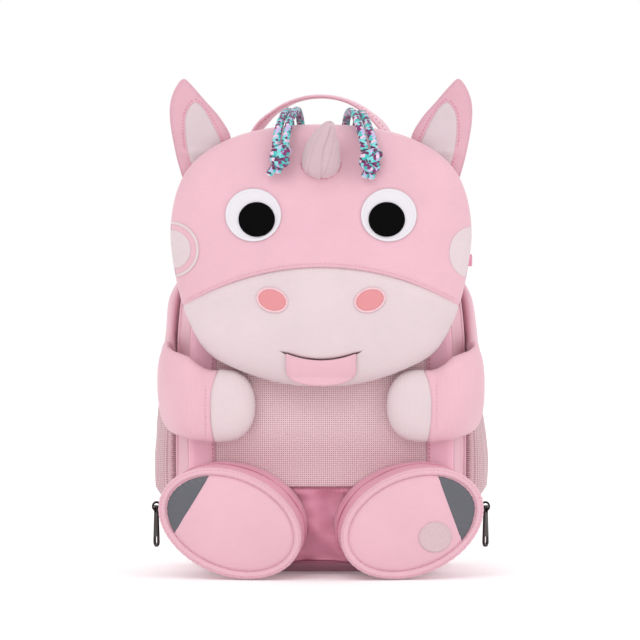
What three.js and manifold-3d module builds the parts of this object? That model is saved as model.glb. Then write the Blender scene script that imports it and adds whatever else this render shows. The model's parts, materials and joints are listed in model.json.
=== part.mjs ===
// A child's backpack in the shape of a small sitting unicorn, standing upright on its base and its two feet.
// A hollow cloth body carries a padded face, two ears, a horn, two arms, two zipped feet, net pockets,
// a top handle and two shoulder straps. Lengths are in millimetres. +Z is up and the face looks along -Y.
import * as THREE from "three";
import { mergeVertices } from "three/addons/utils/BufferGeometryUtils.js";
import Module from "manifold-3d";

const wasm = await Module();
wasm.setup();

// Bag body
const bagWidth = 200;
const bagHeight = 300;
const bagDepth = 110;
const widestHeight = 110; // where the body is widest
const topSquareness = 2.7; // exponent of the outline above the widest height
const baseSquareness = 5; // and below it
const baseSag = 3; // how far the round base hangs down before the ground presses it flat
const wall = 2.5;
const seamGap = 0.3; // between pieces that are sewn together
const backPadThickness = 6;
const frontPanelThickness = 2.7;
const frontGussetDepth = 18;
const frontEdgeInset = 8; // how far the front panel is drawn in from the gusset
const zipWidth = 8;
const zipEndAngle = 0.13; // radians above the widest height where the zip stops on each side

// Face
const headWidth = 207.4;
const headHeight = 180;
const headBottom = 131.5;
const headThickness = 32;
const headEdgeThickness = 16;
const chinStandoff = 14; // the chin hangs clear of the net pocket by this much
const muzzleRise = 82; // height of the muzzle seam above the chin, at the middle
const muzzleCornerRise = 56; // and at the sides
const muzzleCornerAcross = 93.5;
const patchGap = 0.4;
const patchThickness = 1.2;

// Eyes, nostrils, cheek spots and mouth, placed on the face by height above the chin
const eyeAcross = 46.4;
const eyeRise = 118;
const eyeWide = 19.5;
const eyeTall = 18.3;
const pupilAcross = 44.5;
const pupilRise = 115;
const pupilWide = 12.4;
const pupilTall = 11.8;
const nostrilAcross = 33.4;
const nostrilRise = 60;
const nostrilLong = 10.6;
const nostrilShort = 7.6;
const nostrilTilt = 0.33;
const spotRise = 94;
const spotAcross = 103;
const spotRadius = 13.5;
const spotRingRadius = 19.3;
const spotRingWidth = 1.8;
const ovalSpotWide = 15;
const ovalSpotTall = 17.5;
const mouthWidth = 56;
const mouthRise = 25;
const mouthSag = 6.5;
const mouthSlit = 3.2;
const tongueWidth = 48;
const tongueDrop = 17.5;
const tongueThickness = 2;
const tongueRootDepth = 15;

// Ears and horn
const earThickness = 8;
const earPanelThickness = 1.2;
const earTipAcross = 95;
const earTipHeight = 343;
const earHeight = 74;
const earWidth = 44;
const hornRadius = 14;
const hornLength = 36;
const hornRise = 154; // above the chin
const hornPitch = 0.87; // radians above the horizontal
const hornLean = 7; // sideways lean of the tip

// Arms
const armLength = 112; // height from the wrist's middle to the shoulder is a share of this
const armBreadth = 25.5; // half of the forearm's broad side
const armThickness = 9; // half of its thickness
const armHeight = 118; // middle of the forearm above the ground
const handReach = 31; // from the wrist seam to the fingertip
const wristAcross = 76;
const handRest = 0.75; // share of the net's bulge on which the hands lie

// Feet
const footLong = 51;
const footShort = 35.7;
const footTilt = 0.384; // radians that the sole's long axis slopes down towards the middle
const footAcross = 62.5;
const footBaseAcross = 54.5;
const footBaseRise = 5; // the foot's base on the body sits this much higher than its sole
const footBaseShare = 0.92; // size of the foot where it meets the body
const footGussetShare = 0.985; // and just behind its piping
const footGussetSwell = 1;
const footSeatBack = 4; // the splayed sole brings the foot's outer side this much further back
const footDepth = 35;
const footSplay = 0.14; // slope of the sole away from the middle
const footPipeRadius = 2.7;
const footLidThickness = 5;
const footLidDome = 4;
const footLidEdge = 1; // from the lid's widest line back to its flat inner face
const footWall = 2;
const reflectorThickness = 0.8;
const badgeWide = 11.5;
const badgeTall = 10.6;

// Foot zip pulls
const pullLength = 28;
const pullWidth = 7.4;
const pullThickness = 1.4;
const pullHeight = 49; // pivot above the ground
const pullYaw = 0.5; // radians that the pull's face is turned from the side towards the front
const pullEyeClearance = 0.5;
const bailInner = 2.1;
const bailWire = 1.6;
const sliderLength = 12;
const sliderWidth = 6.6;
const sliderPlate = 2.2;
const sliderShare = 0.66; // how far along the foot's depth it sits

// Net pockets
const netThickness = 1.4;
const netHalfWidth = 72.5;
const netBottom = 61;
const netTop = 150;
const netBulge = 8;
const sideNetBottom = 40;
const sideNetTop = 118;
const sideNetFront = -12;
const sideNetRear = 44;
const sideNetBulge = 15;

// Handle and straps
const handleSpan = 56; // half of the distance between its ends
const handleRise = 32; // above the bag's top
const handleHalfWidth = 11;
const handleHalfThickness = 2.2;
const handleSetback = 34; // behind the middle of the bag
const handleEndShare = 0.125; // of the handle's whole run that is bare webbing at each end
const strapHalfWidth = 21;
const strapHalfThickness = 4;
const strapStandoff = 24;
const strapEndDroop = 2.4; // how far the end's corners hang below its middle
const strapTopHeight = 272;
const strapBottomHeight = 96;
const strapTopAcross = 34;
const strapBottomAcross = 62;
const webbingHalfWidth = 10;
const webbingHalfThickness = 0.9;
const webbingEndHeight = 24;
const webbingEndAcross = 82;
const buckleThickness = 3.4;
const buckleWidth = 27;
const buckleHeight = 22;
const buckleBar = 4;

// Hair cords: routes chosen by hand, each from a ring on a zip slider over the face to a knot
const cordRadius = 2.75;
const cordSides = 8;
const hairRoutes = {
  hair_cord_L_outer: [
    [-20.9, -31, 306.6], [-21.2, -36.5, 313], [-21.4, -46, 318.2], [-22.4, -57, 320.4],
    [-24.8, -69, 319], [-27.6, -79.6, 313.4], [-29.9, -85.6, 304.6], [-30.9, -88.4, 295.9],
  ],
  hair_cord_L_inner: [
    [-13.7, -31, 306.6], [-14.2, -36.5, 313], [-15.2, -46, 318.6], [-16.4, -57, 321],
    [-18.6, -69, 319.8], [-21.2, -80.2, 314], [-23.4, -86.4, 305], [-24.7, -89.1, 296],
  ],
  hair_cord_R_outer: [
    [24.2, -31, 306.4], [24.8, -36.5, 312.6], [25.9, -46, 317.4], [27.4, -57, 319],
    [29.8, -69, 316.6], [32.4, -78.8, 310], [35.1, -84.8, 301.6], [36.9, -88, 293.2],
  ],
  hair_cord_R_inner: [
    [16.8, -31, 306.6], [17.4, -36.5, 313], [18.6, -46, 318.4], [20.4, -57, 320.4],
    [22.8, -69, 318.6], [25.4, -79.4, 312.4], [28, -85.4, 303.4], [29.8, -88.6, 293.7],
  ],
};
const hairSliderAcross = { L: -17.3, R: 20.5 };
const hairKnotPlaces = { L: [-27.6, 288.4], R: [34, 285.4] };
const knotWide = 8.6;
const knotTall = 7.4;
const knotDeep = 5.6;
const knotTailLength = 9;
const knotTailRadius = 2.3;
const hairSliderWidth = 9;
const hairSliderPlate = 2.6;
const hairRingRadius = 2.2;
const hairRingWire = 0.8;

const pink = "#f0c3ce";
const deepPink = "#dd9db1";
const palePink = "#ebd8dc";
const netPink = "#dab7bb";

// Number of points round each closed outline
const bodySides = 40;
const headSides = 38;
const footSides = 28;

const backpack = new THREE.Group();
const leftRight = [["L", -1], ["R", 1]];

function fabric(color, roughness = 0.8) {
  return new THREE.MeshStandardMaterial({ color, roughness, metalness: 0 });
}

function metal(color) {
  return new THREE.MeshStandardMaterial({ color, roughness: 0.35, metalness: 0.9 });
}

function add(name, geometry, material) {
  const mesh = new THREE.Mesh(geometry, material);
  mesh.name = name;
  backpack.add(mesh);
  return mesh;
}

// Turns a list of points and triangles into a geometry whose faces point outwards.
function closedGeometry(points, triangles) {
  let volume = 0;
  for (const [a, b, c] of triangles) {
    volume += points[a].dot(new THREE.Vector3().crossVectors(points[b], points[c]));
  }
  const faces = volume < 0 ? triangles.map(([a, b, c]) => [a, c, b]) : triangles;
  const geometry = new THREE.BufferGeometry();
  const places = points.flatMap((p) => [p.x, p.y, p.z]);
  geometry.setAttribute("position", new THREE.Float32BufferAttribute(places, 3));
  geometry.setIndex(faces.flat());
  return geometry;
}

// Skins a row of rings. A ring of one point is a pole.
// An open row is capped, and a looped row joins its last ring to its first.
function loft(rings, looped = false) {
  const rows = [...rings];
  if (!looped && rows[0].length > 1) rows.unshift([middleOf(rows[0])]);
  if (!looped && rows.at(-1).length > 1) rows.push([middleOf(rows.at(-1))]);
  const points = rows.flat();
  const starts = [];
  let count = 0;
  for (const row of rows) {
    starts.push(count);
    count += row.length;
  }
  const triangles = [];
  const steps = looped ? rows.length : rows.length - 1;
  for (let k = 0; k < steps; k++) {
    const next = (k + 1) % rows.length;
    const sides = Math.max(rows[k].length, rows[next].length);
    for (let i = 0; i < sides; i++) {
      const j = (i + 1) % sides;
      const a = starts[k] + (rows[k].length > 1 ? i : 0);
      const b = starts[k] + (rows[k].length > 1 ? j : 0);
      const c = starts[next] + (rows[next].length > 1 ? j : 0);
      const d = starts[next] + (rows[next].length > 1 ? i : 0);
      if (a === b) triangles.push([a, c, d]);
      else if (c === d) triangles.push([a, b, c]);
      else if (points[a].distanceToSquared(points[c]) < points[b].distanceToSquared(points[d])) {
        triangles.push([a, b, c], [a, c, d]);
      } else triangles.push([a, b, d], [b, c, d]);
    }
  }
  return closedGeometry(points, triangles);
}

function middleOf(ring) {
  const middle = new THREE.Vector3();
  for (const p of ring) middle.add(p);
  return middle.divideScalar(ring.length);
}

// A cloth sheet between two grids of points that share their row and column counts.
function sheet(front, back) {
  const columns = front.length;
  const rows = front[0].length;
  const points = [...front.flat(), ...back.flat()];
  const at = (layer, u, v) => layer * columns * rows + u * rows + v;
  const triangles = [];
  const quad = (a, b, c, d) => triangles.push([a, b, c], [a, c, d]);
  for (let u = 0; u < columns - 1; u++) {
    for (let v = 0; v < rows - 1; v++) {
      quad(at(0, u, v), at(0, u + 1, v), at(0, u + 1, v + 1), at(0, u, v + 1));
      quad(at(1, u, v), at(1, u, v + 1), at(1, u + 1, v + 1), at(1, u + 1, v));
    }
    quad(at(1, u, 0), at(1, u + 1, 0), at(0, u + 1, 0), at(0, u, 0));
    quad(at(0, u, rows - 1), at(0, u + 1, rows - 1), at(1, u + 1, rows - 1), at(1, u, rows - 1));
  }
  for (let v = 0; v < rows - 1; v++) {
    quad(at(0, 0, v), at(0, 0, v + 1), at(1, 0, v + 1), at(1, 0, v));
    quad(at(1, columns - 1, v), at(1, columns - 1, v + 1), at(0, columns - 1, v + 1), at(0, columns - 1, v));
  }
  return closedGeometry(points, triangles);
}

function toSolid(geometry) {
  const bare = geometry.clone();
  bare.deleteAttribute("normal");
  bare.deleteAttribute("uv");
  const merged = mergeVertices(bare, 1e-4);
  return new wasm.Manifold(new wasm.Mesh({
    numProp: 3,
    vertProperties: new Float32Array(merged.attributes.position.array),
    triVerts: new Uint32Array(merged.index.array),
  }));
}

function toGeometry(solid) {
  const made = solid.getMesh();
  const geometry = new THREE.BufferGeometry();
  geometry.setAttribute("position", new THREE.Float32BufferAttribute(made.vertProperties, 3));
  geometry.setIndex([...made.triVerts]);
  return geometry;
}

function signedPower(value, exponent) {
  return Math.sign(value) * Math.abs(value) ** exponent;
}

function mix(a, b, share) {
  return a + (b - a) * share;
}

// An outline in the upright plane, made into a prism that runs along Y between two depths.
function uprightPrism(outline, yFront, yRear) {
  const shape = new THREE.Shape(outline.map(([x, z]) => new THREE.Vector2(x, z)));
  const prism = new THREE.ExtrudeGeometry(shape, { depth: yRear - yFront, bevelEnabled: false, steps: 1 });
  prism.rotateX(Math.PI / 2);
  prism.translate(0, yRear, 0);
  return toSolid(prism);
}

function ellipseOutline(x, z, wide, tall, tilt = 0, sides = 20) {
  return Array.from({ length: sides }, (_, i) => {
    const angle = (i / sides) * Math.PI * 2;
    const u = Math.cos(angle) * wide;
    const v = Math.sin(angle) * tall;
    return [x + u * Math.cos(tilt) - v * Math.sin(tilt), z + u * Math.sin(tilt) + v * Math.cos(tilt)];
  });
}

// Sections of a padded arm, strap or handle: a middle, half of the breadth and thickness, and the
// lean of the broad side, which points forwards at 0 and up at a quarter turn. Rows are smoothed to
// the number of stations asked for.
function sweep(rows, stations, sides, squareness, roundTip = false) {
  const middles = new THREE.CatmullRomCurve3(rows.map((r) => new THREE.Vector3(r.x, r.y, r.z)));
  const shapes = new THREE.CatmullRomCurve3(rows.map((r) => new THREE.Vector3(r.broad, r.thick, r.lean)));
  const rings = [];
  for (let k = 0; k <= stations; k++) {
    const share = k / stations;
    const middle = middles.getPoint(share);
    const { x: broad, y: thick, z: lean } = shapes.getPoint(share);
    const broadWay = new THREE.Vector3(0, -Math.cos(lean), Math.sin(lean));
    const thickWay = new THREE.Vector3().crossVectors(middles.getTangent(share), broadWay).normalize();
    rings.push(Array.from({ length: sides }, (_, i) => {
      const angle = (i / sides) * Math.PI * 2;
      return middle.clone()
        .addScaledVector(broadWay, broad * signedPower(Math.cos(angle), 2 / squareness))
        .addScaledVector(thickWay, thick * signedPower(Math.sin(angle), 2 / squareness));
    }));
  }
  if (roundTip) rings.push([middles.getPoint(1).addScaledVector(middles.getTangent(1), armThickness / 3)]);
  return rings;
}

// Bag body: planes along Y, from the front to the back
const frontFace = -bagDepth / 2;
const frontGussetStart = frontFace + frontPanelThickness + seamGap;
const zipStart = frontGussetStart + frontGussetDepth + seamGap;
const rearGussetStart = zipStart + zipWidth + seamGap;
const backFace = bagDepth / 2;
const backPadStart = backFace - backPadThickness;

// A point of the bag's upright outline, drawn in by an inset and pressed flat on the ground.
function bagOutline(angle, inset) {
  const squareness = Math.sin(angle) >= 0 ? topSquareness : baseSquareness;
  const halfHeight = Math.sin(angle) >= 0 ? bagHeight - widestHeight : widestHeight + baseSag;
  const x = signedPower(Math.cos(angle), 2 / squareness) * (bagWidth / 2 - inset);
  const z = widestHeight + signedPower(Math.sin(angle), 2 / squareness) * (halfHeight - inset);
  return [x, Math.max(z, inset)];
}

function bagRing(inset, y) {
  return Array.from({ length: bodySides }, (_, i) => {
    const [x, z] = bagOutline((i / bodySides) * Math.PI * 2, inset);
    return new THREE.Vector3(x, y, z);
  });
}

// Half of the bag's width at a height, and the height of its top at a distance from the middle.
function bagHalfWidth(height) {
  const above = height >= widestHeight;
  const reach = above ? bagHeight - widestHeight : widestHeight + baseSag;
  const squareness = above ? topSquareness : baseSquareness;
  return (bagWidth / 2) * (1 - (Math.abs(height - widestHeight) / reach) ** squareness) ** (1 / squareness);
}

function bagTop(across) {
  const share = (Math.abs(across) / (bagWidth / 2)) ** topSquareness;
  return widestHeight + (bagHeight - widestHeight) * (1 - share) ** (1 / topSquareness);
}

function gusset(yFront, yRear, insetFront, insetRear) {
  return loft([
    bagRing(insetFront, yFront),
    bagRing(insetRear, yRear),
    bagRing(insetRear + wall, yRear),
    bagRing(insetFront + wall, yFront),
  ], true);
}

// A stretch of the band between the two gussets, from one angle to another.
function bandStretch(from, to, steps) {
  const corners = [[0, zipStart], [0, zipStart + zipWidth], [wall, zipStart + zipWidth], [wall, zipStart]];
  const rings = [];
  for (let k = 0; k <= steps; k++) {
    rings.push(corners.map(([inset, y]) => {
      const [x, z] = bagOutline(mix(from, to, k / steps), inset);
      return new THREE.Vector3(x, y, z);
    }));
  }
  return loft(rings);
}

function makeBody() {
  const bandGapAngle = seamGap / (bagHeight / 2);
  add("rear_gusset", gusset(rearGussetStart, backPadStart - seamGap, 0, 0), fabric(pink));
  add("front_gusset", gusset(frontGussetStart, zipStart - seamGap, frontEdgeInset, 0), fabric(deepPink));
  add("main_zip", bandStretch(zipEndAngle, Math.PI - zipEndAngle, 22), fabric(deepPink, 0.6));
  add("base_band", bandStretch(
    Math.PI - zipEndAngle + bandGapAngle, Math.PI * 2 + zipEndAngle - bandGapAngle, 22,
  ), fabric(deepPink));
  add("back_panel", loft([
    bagRing(1, backPadStart),
    bagRing(0, backPadStart + backPadThickness / 3),
    bagRing(1.5, backFace - backPadThickness / 6),
    bagRing(5, backFace),
  ]), fabric(pink));
  add("front_panel", loft([
    bagRing(frontEdgeInset, frontGussetStart - seamGap),
    bagRing(frontEdgeInset, frontFace + frontPanelThickness / 2),
    bagRing(frontEdgeInset + 1.5, frontFace + 0.5),
    bagRing(frontEdgeInset + 5, frontFace),
  ]), fabric(pink));
}

// Face: half of its outline as shares of the head's half width and height, from the crown to the chin
const headOutlineShares = [
  { across: 0, up: 1 }, { across: 0.31, up: 0.989 }, { across: 0.58, up: 0.951 }, { across: 0.81, up: 0.875 },
  { across: 0.945, up: 0.765 }, { across: 1, up: 0.6 }, { across: 0.965, up: 0.42 },
  { across: 0.885, up: 0.26 },
  { across: 0.75, up: 0.13 }, { across: 0.52, up: 0.057 }, { across: 0.26, up: 0.012 }, { across: 0, up: 0 },
];
// Swell of the face: size as a share of the outline, and depth as a share of the head's thickness
const headSwell = [
  { size: 0.25, depth: 0.99 }, { size: 0.5, depth: 0.96 }, { size: 0.7, depth: 0.89 },
  { size: 0.84, depth: 0.78 },
  { size: 0.93, depth: 0.63 }, { size: 0.98, depth: 0.46 }, { size: 1, depth: 0.27 },
];
const headMiddle = headBottom + headHeight / 2;
const headTop = headBottom + headHeight;

function headOutline() {
  const half = headOutlineShares.map((p) => [p.across * headWidth / 2, headBottom + p.up * headHeight]);
  const other = half.slice(1, -1).reverse().map(([x, z]) => [-x, z]);
  const curve = new THREE.CatmullRomCurve3(
    [...half, ...other].map(([x, z]) => new THREE.Vector3(x, 0, z)), true, "centripetal",
  );
  return curve.getSpacedPoints(headSides).slice(0, headSides);
}

// The back of the face lies on the front panel above and stands clear of the net pocket at the chin.
function headRear(z) {
  const drop = Math.max(0, (headMiddle + headHeight * 0.08 - z) / (headHeight * 0.58));
  return frontFace - seamGap - chinStandoff * drop;
}

function headRing(outline, size, depth, forward = 0) {
  return outline.map((p) => {
    const x = p.x * size;
    const z = headMiddle + (p.z - headMiddle) * size;
    return new THREE.Vector3(x, headRear(z) - depth - forward, z);
  });
}

function headFrontRings(outline, forward) {
  const rings = headSwell.map((row) => headRing(outline, row.size, row.depth * headThickness, forward));
  return [[new THREE.Vector3(0, headRear(headMiddle) - headThickness - forward, headMiddle)], ...rings];
}

// A thin layer laid on a domed front surface, cut to an outline.
function layer(frontRings, gap, thickness, cutter) {
  const lift = (rings, forward) => rings.map((ring) => ring.map((p) => p.clone().setY(p.y - forward)));
  const outer = lift(frontRings, gap + thickness);
  const inner = lift(frontRings, gap).reverse();
  return toGeometry(toSolid(loft([...outer, ...inner])).intersect(cutter));
}

function headPrism(outline) {
  const reach = headThickness + chinStandoff + headEdgeThickness;
  return uprightPrism(outline, frontFace - reach, frontFace);
}

function makeFace() {
  const outline = headOutline();
  const front = headFrontRings(outline, 0);
  const edge = headRing(outline, 0.985, headEdgeThickness * 0.16);
  const rear = [headRing(outline, 0.95, 0), headRing(outline, 0.6, 0)];
  const rearPole = [new THREE.Vector3(0, headRear(headMiddle), headMiddle)];
  const head = toSolid(loft([...front, edge, ...rear, rearPole]));

  // The muzzle seam is an arc through its two corners and its top.
  const sagitta = muzzleRise - muzzleCornerRise;
  const seamRadius = (muzzleCornerAcross ** 2 + sagitta ** 2) / (2 * sagitta);
  const seamMiddle = headBottom + muzzleRise - seamRadius;
  const seamZ = (x) => seamMiddle + Math.sqrt(Math.max(0, seamRadius ** 2 - x ** 2));
  const seamSteps = 14;
  const reach = headWidth * 0.56;
  const seamLine = Array.from({ length: seamSteps + 1 }, (_, i) => mix(-reach, reach, i / seamSteps));
  const below = seamLine.map((x) => [x, seamZ(x) - seamGap / 2]);
  const above = seamLine.map((x) => [x, seamZ(x) + seamGap / 2]).reverse();
  const under = headBottom - headThickness;
  const over = headTop + headThickness;
  const lower = headPrism([[reach, under], [-reach, under], ...below]);
  const upper = headPrism([[-reach, over], [reach, over], ...above]);

  // The mouth is a slit along a shallow arc, cut through the muzzle.
  const mouthArc = (x) => headBottom + mouthRise - mouthSag * (1 - (2 * x / mouthWidth) ** 2);
  const mouthSteps = 8;
  const mouthBand = (halfWidth, halfSlit) => {
    const xs = Array.from({ length: mouthSteps + 1 }, (_, i) => mix(-halfWidth, halfWidth, i / mouthSteps));
    const lower = xs.map((x) => [x, mouthArc(x) - halfSlit]);
    return [...lower, ...xs.reverse().map((x) => [x, mouthArc(x) + halfSlit])];
  };
  const slit = headPrism(mouthBand(mouthWidth / 2, mouthSlit / 2));
  add("face_upper", toGeometry(head.intersect(upper)), fabric(pink));
  add("muzzle", toGeometry(head.intersect(lower).subtract(slit)), fabric(palePink));

  // The tongue comes out of the slit and lies over the chin.
  const half = tongueWidth / 2;
  const cornerDrop = tongueDrop * 0.55;
  const tongueFoot = ellipseOutline(0, 0, half, cornerDrop, 0, 24).filter(([, z]) => z < -0.01);
  const mouthLow = headBottom + mouthRise - mouthSag;
  const tongueTop = [half, 0, -half].map((x) => [x, mouthArc(x)]);
  const tongueOutline = [
    ...tongueFoot.map(([x, z]) => [x, mouthLow - (tongueDrop - cornerDrop) + z]), ...tongueTop,
  ];
  const lip = toSolid(layer(front, patchGap, tongueThickness, headPrism(tongueOutline)));
  const middleFront = headRear(mouthLow) - headThickness;
  const rootEnd = middleFront + tongueRootDepth;
  const root = uprightPrism(mouthBand(half, mouthSlit / 2 - patchGap), middleFront, rootEnd);
  const lipFront = headFrontRings(outline, patchGap + tongueThickness);
  const forwardLimit = toSolid(loft([...lipFront, edge, ...rear, rearPole]));
  add("tongue", toGeometry(lip.add(root.intersect(forwardLimit))), fabric(pink));

  const place = (x, rise) => [x, headBottom + rise];
  const patch = (name, cutter, color, gap = patchGap) => {
    add(name, layer(front, gap, patchThickness, cutter), fabric(color));
  };
  for (const [hand, side] of leftRight) {
    const eye = ellipseOutline(...place(side * eyeAcross, eyeRise), eyeWide, eyeTall);
    const pupil = ellipseOutline(...place(side * pupilAcross, pupilRise), pupilWide, pupilTall);
    const nostrilPlace = place(side * nostrilAcross, nostrilRise);
    const nostril = ellipseOutline(...nostrilPlace, nostrilLong, nostrilShort, side * nostrilTilt);
    patch(`eye_white_${hand}`, headPrism(eye), "#f1edf2");
    patch(`pupil_${hand}`, headPrism(pupil), "#0c0c0d", patchGap * 2 + patchThickness);
    patch(`nostril_${hand}`, headPrism(nostril), "#eaa5a8");
  }
  const disc = (x, radius) => headPrism(ellipseOutline(...place(x, spotRise), radius, radius));
  const ring = disc(-spotAcross, spotRingRadius).subtract(disc(-spotAcross, spotRingRadius - spotRingWidth));
  patch("cheek_spot_L", disc(-spotAcross, spotRadius), palePink);
  patch("cheek_ring_L", ring, palePink);
  const oval = ellipseOutline(...place(spotAcross, spotRise - 2), ovalSpotWide, ovalSpotTall);
  patch("cheek_spot_R", headPrism(oval), palePink);
  return { head, front };
}

// Ear: outline as shares of its width and height, measured from the tip, outer side first
const earOutlineShares = [
  { out: 0, down: 0 }, { out: 0.12, down: 0.08 }, { out: 0.205, down: 0.22 }, { out: 0.21, down: 0.4 },
  { out: 0.15, down: 0.62 }, { out: 0.07, down: 0.82 }, { out: -0.04, down: 0.98 },
  { out: -0.26, down: 0.97 },
  { out: -0.48, down: 0.82 }, { out: -0.69, down: 0.68 }, { out: -0.74, down: 0.54 },
  { out: -0.57, down: 0.36 },
  { out: -0.35, down: 0.21 }, { out: -0.13, down: 0.06 },
];
const earPanelShare = 0.56; // size of the pale panel against the whole ear
const earPanelDrop = 0.5; // height of the panel's middle, as a share of the ear's height

function makeEars() {
  const middleOut = -0.22;
  const middleDown = 0.5;
  const rearPlane = frontFace - seamGap + earThickness - 0.7;
  const earSwell = [{ size: 0.5, depth: 0.95 }, { size: 0.85, depth: 0.82 }, { size: 1, depth: 0.5 }];
  for (const [hand, side] of leftRight) {
    const at = (out, down) => [side * (earTipAcross + out * earWidth), earTipHeight - down * earHeight];
    const ring = (size, depth, drop = middleDown) => earOutlineShares.map((p) => {
      const [x, z] = at(middleOut + (p.out - middleOut) * size, drop + (p.down - middleDown) * size);
      return new THREE.Vector3(x, rearPlane - depth * earThickness, z);
    });
    const pole = (depth) => {
      const [x, z] = at(middleOut, middleDown);
      return [new THREE.Vector3(x, rearPlane - depth * earThickness, z)];
    };
    const front = [pole(1), ...earSwell.map((row) => ring(row.size, row.depth))];
    const back = [ring(0.85, 0.18), ring(0.5, 0.05), pole(0)];
    add(`ear_${hand}`, loft([...front, ...back]), fabric(pink));
    const panel = ring(earPanelShare, 0, earPanelDrop).map((p) => [p.x, p.z]);
    const cutter = uprightPrism(panel, rearPlane - earThickness * 2, rearPlane);
    add(`ear_panel_${hand}`, layer(front, patchGap, earPanelThickness, cutter), fabric(palePink));
  }
}

// Horn: radius and sideways lean along its length
const hornProfile = [
  { along: -0.35, radius: 0.9 }, { along: 0, radius: 0.96 }, { along: 0.2, radius: 0.95 },
  { along: 0.42, radius: 0.82 }, { along: 0.64, radius: 0.61 }, { along: 0.84, radius: 0.4 },
  { along: 0.96, radius: 0.22 },
];

function makeHorn(head, front) {
  const baseHeight = headBottom + hornRise;
  const share = (baseHeight - headMiddle) / (headHeight / 2);
  const faceDepth = headRear(baseHeight) - headThickness * (1 - 0.42 * share ** 4);
  const base = new THREE.Vector3(0, faceDepth, baseHeight);
  const way = new THREE.Vector3(0, -Math.cos(hornPitch), Math.sin(hornPitch));
  const across = new THREE.Vector3(1, 0, 0);
  const over = new THREE.Vector3().crossVectors(way, across);
  const sides = 16;
  const middle = (along) => base.clone().addScaledVector(way, along * hornLength)
    .addScaledVector(across, hornLean * Math.max(0, along) ** 2);
  const rings = hornProfile.map((row) => Array.from({ length: sides }, (_, i) => {
    const angle = (i / sides) * Math.PI * 2;
    return middle(row.along)
      .addScaledVector(across, Math.cos(angle) * row.radius * hornRadius)
      .addScaledVector(over, Math.sin(angle) * row.radius * hornRadius);
  }));
  const lifted = toSolid(loft([
    ...front.map((ring) => ring.map((p) => p.clone().setY(p.y - patchGap))),
    [new THREE.Vector3(0, frontFace, headMiddle)],
  ]));
  const horn = toSolid(loft([...rings, [middle(1)]])).subtract(lifted).subtract(head);
  const outside = horn.decompose().sort((a, b) => b.volume() - a.volume())[0];
  add("horn", toGeometry(outside), fabric(palePink));
}

// Upper arm: height as a share of its length, place in front of the bag's middle as a share of the
// bag's depth, distance from the bag's side and thickness as shares of the arm's thickness, breadth,
// and lean in radians
const armRows = [
  { up: 0.8, fore: 0, stand: 0, broad: 0.46, thick: 0.2, lean: 0 },
  { up: 0.62, fore: 0.045, stand: 0.07, broad: 0.62, thick: 0.5, lean: 0.05 },
  { up: 0.4, fore: 0.12, stand: 0.045, broad: 0.76, thick: 0.52, lean: 0.2 },
  { up: 0.19, fore: 0.255, stand: 0.09, broad: 0.9, thick: 0.62, lean: 0.62 },
];
const handTipShares = [
  { reach: 0.55, broad: 0.92 }, { reach: 0.84, broad: 0.68 }, { reach: 0.97, broad: 0.36 },
];

function makeArms() {
  const netFace = frontFace - netBulge * handRest - netThickness - seamGap;
  const handY = netFace - seamGap - armThickness;
  for (const [hand, side] of leftRight) {
    const upperArm = armRows.map((row) => {
      const z = armHeight + row.up * armLength;
      const thick = row.thick * armThickness;
      return {
        x: side * (bagHalfWidth(z) + seamGap + thick + row.stand * armThickness), y: -row.fore * bagDepth, z,
        broad: row.broad * armBreadth, thick, lean: row.lean,
      };
    });
    const elbow = {
      x: side * (bagWidth / 2 + armThickness * 0.55), y: frontFace + armThickness * 0.1,
      z: armHeight + armThickness,
      broad: armBreadth * 1.14, thick: armThickness * 0.84, lean: 1.2,
    };
    const forearm = {
      x: side * mix(wristAcross, bagWidth / 2, 0.66), y: mix(handY, frontFace, 0.08),
      z: armHeight + armThickness * 0.6,
      broad: armBreadth * 1.11, thick: armThickness, lean: 1.5,
    };
    const wrist = (reach) => ({
      x: side * (wristAcross - handReach * reach), y: handY, z: armHeight,
      broad: armBreadth * 0.98, thick: armThickness, lean: Math.PI / 2,
    });
    const cuff = [wrist(-0.14), wrist(-seamGap / handReach)];
    add(`arm_${hand}`, loft(sweep([...upperArm, elbow, forearm, ...cuff], 14, 14, 2.3)), fabric(pink));
    const handRows = [wrist(0), wrist(0.12), ...handTipShares.map((row) => ({
      ...wrist(row.reach), broad: armBreadth * row.broad, thick: armThickness * Math.sqrt(row.broad),
    }))];
    const handRings = sweep(handRows, 6, 14, 2.3);
    const tip = new THREE.Vector3(side * (wristAcross - handReach), handY, armHeight);
    add(`hand_${hand}`, loft([...handRings, [tip]]), fabric(palePink));
  }
}

// Where a reflector's straight edge meets the sole's top and bottom, as shares of the sole's length
const reflectorChords = { L: [0.15, 0.91], R: [0.27, 0.73] };

// Foot: a ring of the tapering foot, from its base on the body at 0 to its sole at 1
const footMiddleHeight = Math.hypot(footLong * Math.sin(footTilt), footShort * Math.cos(footTilt)) + seamGap;

const footStart = frontFace - netThickness - seamGap * 2; // the feet cover the lower corners of the net

function footRing(side, depthShare, longHalf, shortHalf, forward = 0) {
  const across = mix(footBaseAcross, footAcross, depthShare);
  const y = footStart - footDepth * depthShare - forward;
  return Array.from({ length: footSides }, (_, i) => {
    const angle = (i / footSides) * Math.PI * 2;
    const u = Math.cos(angle) * longHalf;
    const v = Math.sin(angle) * shortHalf;
    const out = u * Math.cos(footTilt) - v * Math.sin(footTilt);
    const rise = footBaseRise * (1 - depthShare);
    const z = footMiddleHeight + rise + u * Math.sin(footTilt) + v * Math.cos(footTilt);
    return new THREE.Vector3(side * (across + out), y + out * footSplay * depthShare, Math.max(0, z));
  });
}

// Size of the foot's gusset at a share of its depth
function footTaper(share) {
  return mix(footBaseShare, footGussetShare, share);
}

function footPoint(side, forward) {
  return [new THREE.Vector3(side * footAcross, footStart - footDepth - forward, footMiddleHeight)];
}

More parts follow.
